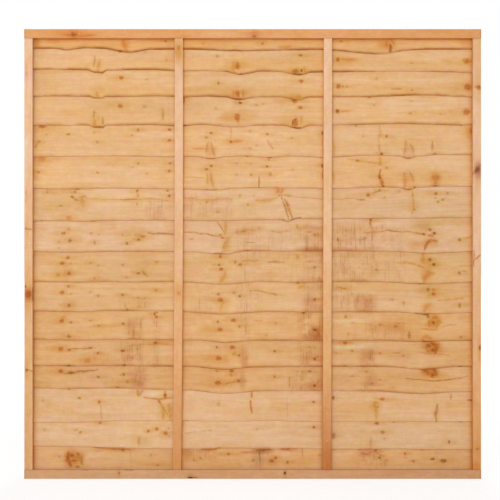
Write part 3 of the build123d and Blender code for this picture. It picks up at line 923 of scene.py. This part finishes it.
def paint_stains_and_shade(tone, x, z):
    """Colours the boards beside the battens and rails with dip stain and painted shade, darkest next to
    them.
    """
    for kind, side, ink, first, last, reach in stains_and_shade_beside_battens:
        if "rail" in kind:
            low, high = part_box(f"front_{kind}")
            gap = low.z - z if side == "foot" else z - high.z
            share = x / panel_width
        else:
            foot, head, width, low, high = upright_sides(f"front_{kind}")
            share = (z - low) / (high - low)
            left = foot + (head - foot) * share
            if kind == "left_batten":
                left = left + left_batten_bow * np.sin(math.pi * share)
            gap = x - left - width if side == "right" else left - x
        beside = np.clip(gap / stain_and_shade_edge + 1, 0, 1)
        strength = (first + (last - first) * share) * np.exp(-np.maximum(gap, 0) / reach) * beside
        tone = tone * tint(ink) ** np.maximum(strength, 0)[:, None]
    return tone


def sawn_share(across, down):
    """How much dirt lies in the saw marks at each place."""
    share = np.zeros(len(across))
    for left, top, right, foot, strength in sawn_patches:
        inside = np.minimum.reduce([across - left, right - across, down - top, foot - down])
        share = np.maximum(share, strength * np.clip(inside / sawn_fade + sawn_edge_share, 0, 1))
    return share


def bend_grain(name, points, scale, across, upright):
    """Each point's place across the grain, where the grain bends round the knots."""
    bent = across.copy()
    for _, knot_across, knot_down, width, height in marks_of(knots, name):
        if width * height < smallest_bend:
            continue
        knot_x = camera_x + (knot_across - photo_middle) / scale
        knot_z = camera_z - (knot_down - photo_middle) / scale
        gap_x = points[:, 0] - knot_x
        gap_z = points[:, 2] - knot_z
        along_gap, across_gap = (gap_z, gap_x) if upright else (gap_x, gap_z)
        size = (width + height) / scale / 4
        spread = (along_gap / bend_length) ** 2 + across_gap**2 + size**2
        bent -= across_gap * size**2 / spread
    return bent


def dress(mesh, name, along, across, depth, tones, rim):
    """Gives a piece of timber the attributes that its material reads.

    along, across and depth are each point's place in the timber, in metres. tones are the colours
    from its start to its end. rim is the strength of the bark on a waney edge, with its painted shade
    line along the lap, and 0 away from it.
    """
    along, across, depth, rim = along.ravel(), across.ravel(), depth.ravel(), rim.ravel()
    board = name.startswith("board")
    upright = not board and "rail" not in name
    rng = np.random.default_rng(sum(ord(letter) * place for place, letter in enumerate(name, first_place)))
    points = read_array(mesh.vertices, "co", 3).astype(float)
    scale = pixels_in_metre(points[:, 1])
    photo_across = photo_middle + (points[:, 0] - camera_x) * scale
    photo_down = photo_middle - (points[:, 2] - camera_z) * scale

    # The rings are wider in the middle of a board
    bent = bend_grain(name, points, scale.mean(), across, upright)
    for size, spacing in grain_wander:
        bent += size * wander(along, spacing, rng)
    pith_across = rng.uniform(*pith_shares) * across.max()
    pith_depth = rng.uniform(*pith_depths)
    rings = np.hypot(bent - pith_across, depth + pith_depth) + ring_slope * bent
    seed = rng.uniform(0, seed_range)
    grain = np.column_stack([along, rings, np.full(len(points), seed)])
    fill_attribute(mesh, "grain", "POINT", grain)
    fill_attribute(mesh, "place", "POINT", np.column_stack([along, across, depth + seed]))

    # The base colour, with its soft patches
    stations = np.linspace(0, along.max(), len(tones))
    shades = np.array([linear(timber_tones[tone]) for tone in tones])
    tone = np.column_stack([np.interp(along, stations, shade) for shade in shades.T])
    shade = 1 + shade_along[0] * wander(along, shade_along[1], rng)
    shade = shade + shade_across[0] * wander(across, shade_across[1], rng)
    tone = tone * shade[:, None]
    sawn = np.zeros(len(points))
    if board:
        tone = lay_patches(tone, board_patches, photo_across, photo_down)
        # Dip stain, and painted shade in the corners beside the battens and rails
        tone = paint_stains_and_shade(tone, points[:, 0], points[:, 2])
        sawn = sawn_share(photo_across, photo_down)
    else:
        tone = lay_patches(tone, batten_patches, photo_across, photo_down)
    fill_attribute(mesh, "tone", "POINT", tone, colour=True)
    end_faces = (along <= 0) | (along >= along.max())
    # The bark with the painted shade line along the lap, the dirt in the saw marks, and the ends
    fill_attribute(mesh, "bark_shade_dirt_and_ends", "POINT", np.column_stack([rim, sawn, end_faces]))

    # Knots and streaks. The lines of the streaks waver a little.
    corner_points = read_array(mesh.loops, "vertex_index", 1, np.int32)
    sizes = read_array(mesh.polygons, "loop_total", 1, np.int32)
    corner_faces = np.repeat(np.arange(len(sizes)), sizes)
    corners = [photo_across[corner_points], photo_down[corner_points]]
    faces = [np.bincount(corner_faces, values) / sizes for values in corners]
    fill_marks(mesh, "knot", marks_of(knots, name), knot_places, 1, faces, corners, corner_faces)
    for axis, line, (size, spacing) in ((0, points[:, 2], waver_across), (1, points[:, 0], waver_down)):
        corners[axis] = corners[axis] + size * wander(line, spacing, rng)[corner_points]
    fill_marks(mesh, "streak", streak_runs(name), streak_places, streak_strength, faces, corners,
               corner_faces)


def unroll(mesh, columns, ring, distances, step):
    """Lays the sides of a piece out flat for its baked texture, in sections stacked one above another.

    The faces come column by column, each column going once round the section, then the two ends.
    """
    layer = mesh.uv_layers.new(name="OFBake")
    pitch = distances[-1] + bake_margin
    per_section = math.ceil(columns / bake_sections)
    height = bake_sections * pitch + bake_end_room
    scale = bake_share / max(height, per_section * step + bake_margin)
    column = np.repeat(np.arange(columns), ring)
    slot = np.tile(np.arange(ring), columns)
    section = column // per_section
    left = (column - section * per_section) * step
    low = section * pitch
    corners = np.stack([
        np.column_stack([left, low + distances[slot]]),
        np.column_stack([left + step, low + distances[slot]]),
        np.column_stack([left + step, low + distances[slot + 1]]),
        np.column_stack([left, low + distances[slot + 1]]),
    ], axis=1)
    places = np.zeros((len(mesh.loops), 2), np.float32)
    side_corners = columns * ring * 4
    places[:side_corners] = corners.reshape(-1, 2)
    places[side_corners:] = end_places(mesh, side_corners) + np.array([0, bake_sections * pitch])
    places = places * scale + bake_border
    layer.data.foreach_set("uv", places.astype(np.float32).ravel())
    layer.active_render = True


def end_places(mesh, side_corners):
    """Lays the two ends of a piece side by side."""
    end_points = read_array(mesh.loops, "vertex_index", 1, np.int32)[side_corners:]
    points = read_array(mesh.vertices, "co", 3)[end_points]
    length_axis = int(np.argmax(points.max(0) - points.min(0)))
    others = [axis for axis in range(3) if axis != length_axis]
    flat = points[:, others] - points[:, others].min(0)
    far = points[:, length_axis] > points[:, length_axis].mean()
    wide = int(np.argmax(flat.max(0)))
    places = np.column_stack([flat[:, wide], flat[:, 1 - wide]])
    places[:, 0] += far * (flat[:, wide].max() + bake_margin)
    return places


def make_piece(name, points, end_caps):
    """A mesh whose points go round a section, column by column, closed by the two ends."""
    columns = len(points) - 1
    ring = len(points[0])
    faces = []
    for column in range(columns):
        base = column * ring
        for slot in range(ring):
            after = (slot + 1) % ring
            faces.append((base + slot, base + ring + slot, base + ring + after, base + after))
    last = columns * ring
    for cap in end_caps:
        faces.append(tuple(cap))
        faces.append(tuple(last + slot for slot in reversed(cap)))
    mesh = bpy.data.meshes.new(name)
    mesh.from_pydata(points.reshape(-1, 3).tolist(), [], faces)
    mesh.shade_smooth()
    mesh.set_sharp_from_angle(angle=math.radians(sharp_angle))
    return add_object(name, mesh)


def finish_piece(piece, node, material):
    """Puts the material on a piece, which then stands for its CAD node and rides with the panel."""
    piece.data.materials.append(material)
    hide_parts(node)
    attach(piece, "root")


def read_board(node):
    """The front plane of a CAD board: its normal, its depth, its top and the line of its lower edge."""
    mesh = nodes[node].data
    front = [face for face in mesh.polygons if face.normal.y < faces_front]
    largest = max(front, key=lambda face: face.area)
    normal = np.array(largest.normal)
    up = np.array([0, normal[2], -normal[1]])
    used = sorted({index for face in front for index in face.vertices})
    points = np.array([mesh.vertices[index].co for index in used])
    heights = points @ up
    depth = float((points @ normal).mean())
    top = float(heights.max())
    low = heights < top - top_tolerance
    order = np.argsort(points[low, 0])
    return normal, up, depth, top, points[low, 0][order], heights[low][order]


def build_board(number, material):
    """A thin sawn board with a rough waney lower edge, slightly bowed between the battens."""
    name = f"board_{number:02d}"
    rng = np.random.default_rng(board_seed + number)
    normal, up, depth, top, edge_x, edge_v = read_board(name)
    columns = round(panel_width / column_width)
    x = np.linspace(0, panel_width, columns + 1)
    straight_edge = number == board_count
    lower = np.interp(x, edge_x, edge_v)
    if not straight_edge:
        lower = lower + wear_along(x, waney_roughness, rng)
    rows = max(fewest_rows, round((top - lower.mean()) / row_height))
    wane = eased_corner if straight_edge else waney_bevel

    # The section goes up the front, over the top, down the back and under the lower edge. Its points
    # have a share of the board's height, an offset from there and a depth.
    shares = np.linspace(0, 1, rows + 1)
    section = [(share, wane * (1 - share) - eased_corner * share, 0) for share in shares]
    section += [(1, 0, eased_corner), (1, 0, board_thickness - eased_corner)]
    section += [
        (share, eased_corner * (1 - share) - eased_corner * share, board_thickness)
        for share in shares[::-1]
    ]
    section += [(0, under_lift, board_thickness - eased_corner), (0, 0, board_thickness * lowest_line)]
    section += [(0, wane * up_share, wane * in_share) for up_share, in_share in bevel_points]
    share, offset, inward = np.array(section).T
    ring = len(section)
    v = lower[:, None] * (1 - share) + top * share + offset
    steps = np.hypot(np.diff(v.mean(0)), np.diff(inward))
    distances = np.concatenate([[0], np.cumsum(steps)])
    distances = np.append(distances, distances[-1] + closing_step)
    inward = np.broadcast_to(inward, v.shape)
    x_all = np.broadcast_to(x[:, None], v.shape)

    # The board bows between the battens that hold it
    held = np.clip(np.abs(np.sin(math.pi * (x / panel_width) * bay_count)) * bow_rise, 0, 1)
    distance = depth - inward + (board_bow * held * wander(x, bow_spacing, rng))[:, None]
    points = x_all[..., None] * np.array([1, 0, 0]) + v[..., None] * up + distance[..., None] * normal
    back = rows + 3
    caps = [(rows, rows + 1, rows + 2, back)]
    for row in range(rows):
        caps.append((row, row + 1, back + rows - row - 1, back + rows - row))
    caps.append((0, back + rows, back + rows + 1, ring - 3, ring - 2, ring - 1))
    piece = make_piece(name + "_timber", points, caps)
    unroll(piece.data, columns, ring, distances, panel_width / columns)
    # Bark on the waney edge, darker on some boards to paint the shade line along their laps
    rim = np.clip(bark_and_shade_strength - (v - lower[:, None]) / bark_and_shade_height, 0, 1)
    rim = bark_and_shade_darkness[number - 1] * rim * np.where(inward < board_thickness * behind_from, 1, bark_and_shade_behind)
    tones = [board_tones[number - 1]] * 2
    dress(piece.data, name, x_all, v - edge_v.min(), inward, tones, rim)
    finish_piece(piece, name, material)


def round_section(width, depth):
    """Points round a rectangle with eased corners."""
    corners = [(0, 0), (width, 0), (width, depth), (0, depth)]
    turns = [(1, 1), (-1, 1), (-1, -1), (1, -1)]
    points = []
    for corner, (cx, cy) in enumerate(corners):
        centre = np.array([cx, cy]) + batten_corner * np.array(turns[corner])
        start = math.pi + corner * math.pi / 2
        for turn in (0, 0.5, 1):
            angle = start + turn * math.pi / 2
            points.append(centre + batten_corner * np.array([math.cos(angle), math.sin(angle)]))
        nx, ny = corners[(corner + 1) % 4]
        tx, ty = turns[(corner + 1) % 4]
        goal = (nx, ny + ty * batten_corner) if corner % 2 else (nx + tx * batten_corner, ny)
        begin = points[-1]
        side = np.array(goal) - begin
        parts = max(1, round(np.hypot(*side) / batten_step))
        points += [begin + side * part / parts for part in range(1, parts)]
    return np.array(points)


def build_batten(side, kind, material):
    """A sawn batten with eased edges, along the line of its CAD node."""
    name = f"{side}_{kind}"
    rng = np.random.default_rng(sum(map(ord, name)))
    points = node_points(name)
    low, high = points.min(0), points.max(0)
    depth = high[1] - low[1]
    if "rail" in kind:
        start = low
        reach = np.array([high[0] - low[0], 0, 0])
        wide = np.array([0, 0, 1.0])
        width = high[2] - low[2]
        section = round_section(width, depth)[::-1]
    else:
        foot, head, width, *_ = upright_sides(name)
        start = np.array([foot, low[1], low[2]])
        reach = np.array([head - foot, 0, high[2] - low[2]])
        wide = np.array([1.0, 0, 0])
        section = round_section(width, depth)
    length = np.linalg.norm(reach)
    columns = round(length / column_width)
    ring = len(section)
    share = np.linspace(0, 1, columns + 1)[:, None]
    across = np.broadcast_to(section[:, 0], (columns + 1, ring))
    inward = np.broadcast_to(section[:, 1], (columns + 1, ring))
    along = np.broadcast_to(share * length, across.shape)

    # The sides are worn unevenly, and the front and the back a little
    worn = wear_along(along[:, 0], batten_roughness, rng)[:, None]
    on_side = (across < side_tolerance) | (across > width - side_tolerance)
    across_shown = across + np.where(on_side, worn * np.sign(width / 2 - across), 0)
    points = start + share[..., None] * reach + across_shown[..., None] * wide
    if kind == "left_batten":
        points[..., 0] += left_batten_bow * np.sin(math.pi * share)
    on_face = (inward < face_tolerance) | (inward > depth - face_tolerance)
    points[..., 1] += inward + face_wear * np.sign(depth / 2 - inward) * on_face
    piece = make_piece(name + "_timber", points, [tuple(range(ring))[::-1]])
    steps = np.linalg.norm(np.diff(section, axis=0, append=section[:1]), axis=1)
    unroll(piece.data, columns, ring, np.concatenate([[0], np.cumsum(steps)]), length / columns)
    dress(piece.data, kind, along, across, inward, batten_tones[kind], np.zeros(along.shape))
    finish_piece(piece, name, material)


class Nodes:
    """Adds shader nodes to a material and joins them."""

    def __init__(self, owner):
        owner.use_nodes = True
        self.tree = owner.node_tree
        self.tree.nodes.clear()

    def add(self, kind, inputs=None, **settings):
        node = self.tree.nodes.new(kind)
        for key, value in settings.items():
            setattr(node, key, value)
        for key, value in (inputs or {}).items():
            self.put(node.inputs[key], value)
        return node

    def put(self, socket, value):
        if isinstance(value, bpy.types.NodeSocket):
            self.tree.links.new(value, socket)
        else:
            socket.default_value = value

    def attribute(self, name, output="Vector"):
        return self.add("ShaderNodeAttribute", attribute_name=name).outputs[output]

    def math(self, operation, first, second=0.0):
        return self.add("ShaderNodeMath", {0: first, 1: second}, operation=operation).outputs[0]

    def plus(self, first, second):
        return self.math("ADD", first, second)

    def times(self, first, second):
        return self.math("MULTIPLY", first, second)

    def vector(self, operation, first, second):
        return self.add("ShaderNodeVectorMath", {0: first, 1: second}, operation=operation).outputs[0]

    def split(self, vector):
        return self.add("ShaderNodeSeparateXYZ", {0: vector}).outputs

    def length(self, vector, scale=None):
        if scale:
            vector = self.vector("MULTIPLY", vector, scale)
        return self.add("ShaderNodeVectorMath", {0: vector}, operation="LENGTH").outputs["Value"]

    def noise(self, vector, scale, detail, roughness, output=0):
        """Noise in a vector's space, which the scale stretches each way first."""
        inputs = {"Vector": self.vector("MULTIPLY", vector, scale), "Scale": 1.0, "Detail": detail,
                  "Roughness": roughness}
        return self.add("ShaderNodeTexNoise", inputs).outputs[output]

    def ramp(self, value, low, high, first=0.0, last=1.0):
        """Turns a value between low and high into one between first and last, eased at both ends."""
        inputs = {"Value": value, "From Min": low, "From Max": high, "To Min": first, "To Max": last}
        return self.add("ShaderNodeMapRange", inputs, interpolation_type="SMOOTHSTEP").outputs[0]

    def mix(self, share, first, second, blend="MIX"):
        """Mixes two colours, whose sockets come after those for numbers and vectors."""
        node = self.add("ShaderNodeMix", data_type="RGBA", blend_type=blend)
        for socket, value in ((0, share), (6, first), (7, second)):
            self.put(node.inputs[socket], value)
        return node.outputs[2]

    def tint(self, under, colour, share):
        """Colours what is under it by a share of a tint, as a stain soaks in."""
        return self.vector("MULTIPLY", under, self.vector("POWER", colour, share))

    def shade(self, under, share, light, dark, strength):
        """Colours what is under it between two slight tints."""
        both = self.mix(share, (*light, 1.0), (*dark, 1.0))
        return self.mix(strength, under, both, "MULTIPLY")

    def seen(self):
        """1 for the rays that show what is behind the panel, and 0 for the rays that light it."""
        path = self.add("ShaderNodeLightPath").outputs
        seen = self.math("MAXIMUM", path["Is Camera Ray"], path["Is Glossy Ray"])
        return self.math("MAXIMUM", seen, path["Is Transmission Ray"])

    def finish(self, shader, kind="Material"):
        """Joins the last shader to the output of a material or of the world."""
        self.add(f"ShaderNodeOutput{kind}", {"Surface": shader.outputs[0]})


def timber_material(name, band_strength, saw_strength, halo_shape):
    """Rough sawn softwood: bands, rings and fibres, saw marks across the grain, knots and streaks."""
    material = bpy.data.materials.new(name)
    make = Nodes(material)
    grain = make.attribute("grain")
    place = make.attribute("place")
    bark_and_shade_here, dirt_here, end_here = make.split(make.attribute("bark_shade_dirt_and_ends"))

    # Patterns along the grain, then patterns that lie over it
    bands = make.noise(grain, (1.1, 42, 1), 3.0, 0.55)
    rings = make.noise(grain, (2.2, 210, 1), 2.0, 0.6)
    fibres = make.noise(grain, (16, 1300, 1), 2.0, 0.6)
    clouds = make.noise(place, (6, 17, 1), 4.0, 0.62)
    mottle = make.split(make.noise(place, (38, 52, 1), 4.0, 0.72, "Color"))
    saw_lines = make.noise(place, (170, 10, 1), 3.0, 0.65)
    dirt = make.noise(place, (22, 26, 1), 3.0, 0.7)

    # Each pattern: the range that it is spread over, its light and its dark tint, and its strength
    patterns = [
        (bands, 0.32, 0.7, (1.02, 1.03, 1.045), (0.96, 0.915, 0.84), band_strength),
        (rings, 0.35, 0.68, (1.015, 1.02, 1.03), (0.965, 0.94, 0.89), 0.8),
        (fibres, 0.3, 0.75, (1.02, 1.02, 1.025), (0.95, 0.94, 0.92), 1.0),
        (clouds, 0.36, 0.66, (1.015, 1.04, 1.13), (0.985, 0.95, 0.84), 0.8),
        (mottle[0], 0.3, 0.7, (1.03, 1.035, 1.04), (0.965, 0.955, 0.94), 1.0),
        (mottle[1], 0.3, 0.7, (1.022, 0.934, 0.96), (0.988, 1.06, 0.942), 1.0),
        (mottle[2], 0.3, 0.7, (1.0, 0.99, 1.11), (1.0, 1.012, 0.9), 1.0),
    ]
    wood = make.attribute("tone", "Color")
    for pattern, low, high, light, dark, strength in patterns:
        wood = make.shade(wood, make.ramp(pattern, low, high), light, dark, strength)

    # Saw marks, plain everywhere and dirty in patches
    saw_share = make.ramp(saw_lines, 0.45, 0.72)
    wood = make.tint(wood, (0.9, 0.86, 0.82), make.times(saw_share, saw_strength))
    dirty = make.times(dirt_here, make.ramp(dirt, 0.32, 0.6))
    wood = make.tint(wood, (0.68, 0.52, 0.42), make.times(dirty, make.plus(saw_share, 0.3)))

    # Streaks, their outlines and their strength broken up by noise
    ragged = make.math("SUBTRACT", make.noise(place, (130, 170, 1), 3.0, 0.6), 0.5)
    patchy = make.ramp(make.noise(place, (55, 65, 1), 2.0, 0.6), 0.3, 0.62, 0.45, 1.05)
    streak = make.attribute("streak")
    streak_gap = make.plus(make.length(streak, (1, 1, 0)), make.times(ragged, 1.4))
    streak_share = make.times(make.ramp(streak_gap, 0.2, 1.6, 0.86, 0.0), patchy)
    streak_share = make.plus(streak_share, make.ramp(streak_gap, 0.3, 3.5, 0.1, 0.0))
    streak_share = make.times(streak_share, make.split(streak)[2])
    wood = make.tint(wood, make.attribute("streak_ink", "Color"), streak_share)

    # Knots: a speckled core with rings in it, and a golden halo along the grain
    knot = make.attribute("knot")
    knot_strength = make.split(knot)[2]
    knot_gap = make.plus(make.length(knot, (1, 1, 0)), make.times(ragged, 1.5))
    specks = make.noise(place, (210, 270, 1), 2.0, 0.6)
    rings_in = make.ramp(make.math("SINE", make.times(knot_gap, 11.0)), -1.0, 1.0, -0.08, 0.08)
    core = make.plus(make.ramp(knot_gap, 0.35, 1.3, 1.0, 0.0), rings_in)
    core = make.math("MAXIMUM", make.times(core, make.ramp(specks, 0.36, 0.62, 0.62, 1.12)), 0.0)
    halo_gap = make.plus(make.length(knot, halo_shape), ragged)
    gold_share = make.times(make.ramp(halo_gap, 0.5, 2.6, 0.22, 0.0), knot_strength)
    wood = make.tint(wood, (0.81, 0.64, 0.3), gold_share)
    knot_share = make.plus(core, make.ramp(halo_gap, 0.5, 2.2, 0.07, 0.0))
    wood = make.tint(wood, make.attribute("knot_ink", "Color"), make.times(knot_share, knot_strength))

    # Bark and dirt on a waney edge, with the painted shade line along the lap, and darker, open end grain
    bark_and_shade = make.times(bark_and_shade_here, make.ramp(clouds, 0.3, 0.65, 0.2, 1.2))
    wood = make.tint(wood, (0.46, 0.26, 0.13), bark_and_shade)
    wood = make.tint(wood, (0.78, 0.7, 0.6), end_here)

    height = make.plus(make.times(fibres, 0.4), make.times(rings, 0.5))
    height = make.plus(height, make.times(saw_lines, 0.5))
    height = make.plus(height, make.times(core, 0.4))
    bump = make.add("ShaderNodeBump", {"Strength": 0.4, "Distance": 0.0006, "Height": height})
    rough = make.math("SUBTRACT", make.ramp(fibres, 0.2, 0.8, 0.66, 0.84), make.times(core, 0.16))
    surface = {"Base Color": wood, "Roughness": rough, "Specular IOR Level": 0.12,
               "Normal": bump.outputs[0]}
    make.finish(make.add("ShaderNodeBsdfPrincipled", surface))
    return material


def steel_material():
    """Galvanised nail heads, dulled in patches."""
    material = bpy.data.materials.new("nail_steel")
    make = Nodes(material)
    where = make.add("ShaderNodeTexCoord").outputs["Object"]
    patches = make.noise(where, (700, 700, 700), 3.0, 0.6)
    steel = make.mix(make.ramp(patches, 0.35, 0.7), (0.8, 0.62, 0.42, 1.0), (0.6, 0.42, 0.26, 1.0))
    rough = make.ramp(patches, 0.3, 0.7, 0.35, 0.6)
    surface = {"Base Color": steel, "Roughness": rough, "Metallic": 0.35}
    make.finish(make.add("ShaderNodeBsdfPrincipled", surface))
    return material


def nail_places():
    """Where the nails go: one through each board at every upright, and a row along each rail."""
    places = []
    for kind in ("left_stile", "left_batten", "right_batten", "right_stile"):
        foot, head, width, low, high = upright_sides(f"front_{kind}")
        bow = left_batten_bow if kind == "left_batten" else 0
        for number in range(1, board_count + 1):
            board_low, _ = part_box(f"board_{number:02d}")
            z = board_low.z + nail_height
            if low + lowest_nail <= z <= high - highest_nail:
                share = (z - low) / (high - low)
                x = foot + (head - foot) * share + bow * math.sin(math.pi * share) + width / 2
                places.append((x, z))
    for kind in ("top_rail", "bottom_rail"):
        low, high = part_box(f"front_{kind}")
        places += [(panel_width * share, (low.z + high.z) / 2) for share in rail_nails]
    return places


def build_nails(side, material):
    """The small domed heads of the nails on one side, as one mesh. They are driven flush."""
    rng = np.random.default_rng(nail_seed)
    face = front_face if side == "front" else back_face
    inward = 1 if side == "front" else -1
    points = []
    faces = []
    for x, z in nail_places():
        x += rng.uniform(-nail_stray_x, nail_stray_x)
        z += rng.uniform(-nail_stray_z, nail_stray_z)
        base = len(points)
        for size, sink in nail_loops:
            for step in range(nail_sides):
                angle = 2 * math.pi * step / nail_sides
                points.append((x + nail_radius * size * math.cos(angle), face + inward * sink,
                               z + nail_radius * size * math.sin(angle)))
        points.append((x, face + inward * nail_top, z))
        last_loop = base + (len(nail_loops) - 1) * nail_sides
        for start in range(base, last_loop + 1, nail_sides):
            for step in range(nail_sides):
                first = start + step
                after = start + (step + 1) % nail_sides
                if start < last_loop:
                    loop = (first, after, after + nail_sides, first + nail_sides)
                else:
                    loop = (first, after, last_loop + nail_sides)
                faces.append(loop[::inward])
    mesh = bpy.data.meshes.new(f"{side}_nails")
    mesh.from_pydata(points, [], faces)
    mesh.shade_smooth()
    mesh.materials.append(material)
    piece = add_object(f"{side}_nails", mesh)
    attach(piece, "root")


def build_floor():
    """A plain pale floor, which keeps the panel's shadow near it and fades to white further off."""
    mesh = bpy.data.meshes.new("floor")
    corners = [(x * floor_reach, y * floor_reach, 0) for x, y in ((-1, -1), (1, -1), (1, 1), (-1, 1))]
    mesh.from_pydata(corners, [], [(0, 1, 2, 3)])
    floor = add_object("floor", mesh)
    material = bpy.data.materials.new("floor_white")
    make = Nodes(material)
    paper = make.add("ShaderNodeBsdfDiffuse", {"Color": (floor_grey, floor_grey, floor_grey, 1.0)})
    glow = make.add("ShaderNodeEmission", {"Color": white, "Strength": floor_glow})
    where = make.add("ShaderNodeTexCoord").outputs["Object"]
    distance = make.length(make.vector("SUBTRACT", where, (panel_width / 2, 0, 0)))
    share = make.times(make.seen(), make.ramp(distance, *floor_fade))
    make.finish(make.add("ShaderNodeMixShader", {0: share, 1: paper.outputs[0], 2: glow.outputs[0]}))
    mesh.materials.append(material)


def build_world():
    """A white background, whose light on the panel is dimmer."""
    world = bpy.data.worlds.new("studio")
    bpy.context.scene.world = world
    make = Nodes(world)
    dim = make.add("ShaderNodeBackground", {"Color": white, "Strength": world_light})
    bright = make.add("ShaderNodeBackground", {"Color": white, "Strength": 1.0})
    both = make.add("ShaderNodeMixShader", {0: make.seen(), 1: dim.outputs[0], 2: bright.outputs[0]})
    make.finish(both, "World")


def build_lamp(name, side, power):
    """A soft square lamp that faces the middle of the panel, in front of it or behind it."""
    light = bpy.data.lights.new(name, "AREA")
    light.shape = "SQUARE"
    light.size = lamp_size
    light.energy = power
    lamp = add_object(name, light)
    lamp.location = (panel_width / 2 + side * lamp_shift, side * lamp_distance, lamp_height)
    direction = Vector((panel_width / 2, 0, panel_height / 2)) - lamp.location
    lamp.rotation_mode = "QUATERNION"
    lamp.rotation_quaternion = direction.to_track_quat("-Z", "Y")


def build_camera():
    """A camera straight in front of the panel, a little left of its middle and above it."""
    data = bpy.data.cameras.new("camera")
    data.sensor_width = camera_sensor
    data.lens = camera_lens
    camera = add_object("camera", data)
    camera.location = (camera_x, camera_y, camera_z)
    camera.rotation_euler = (math.pi / 2, 0, 0)
    bpy.context.scene.camera = camera


build_camera()
board_timber = timber_material("board_timber", band_strength=0.9, saw_strength=0.10, halo_shape=(0.3, 1, 0))
frame_timber = timber_material("frame_timber", band_strength=0.7, saw_strength=0.06, halo_shape=(1, 0.3, 0))
for number in range(1, board_count + 1):
    build_board(number, board_timber)
for side in ("front", "back"):
    for kind in batten_tones:
        build_batten(side, kind, frame_timber)
nail_steel = steel_material()
build_nails("front", nail_steel)
build_nails("back", nail_steel)
build_floor()
build_world()
build_lamp("lamp_front", -1, front_power)
build_lamp("lamp_back", 1, back_power)
bpy.context.scene.view_settings.view_transform = "Standard"
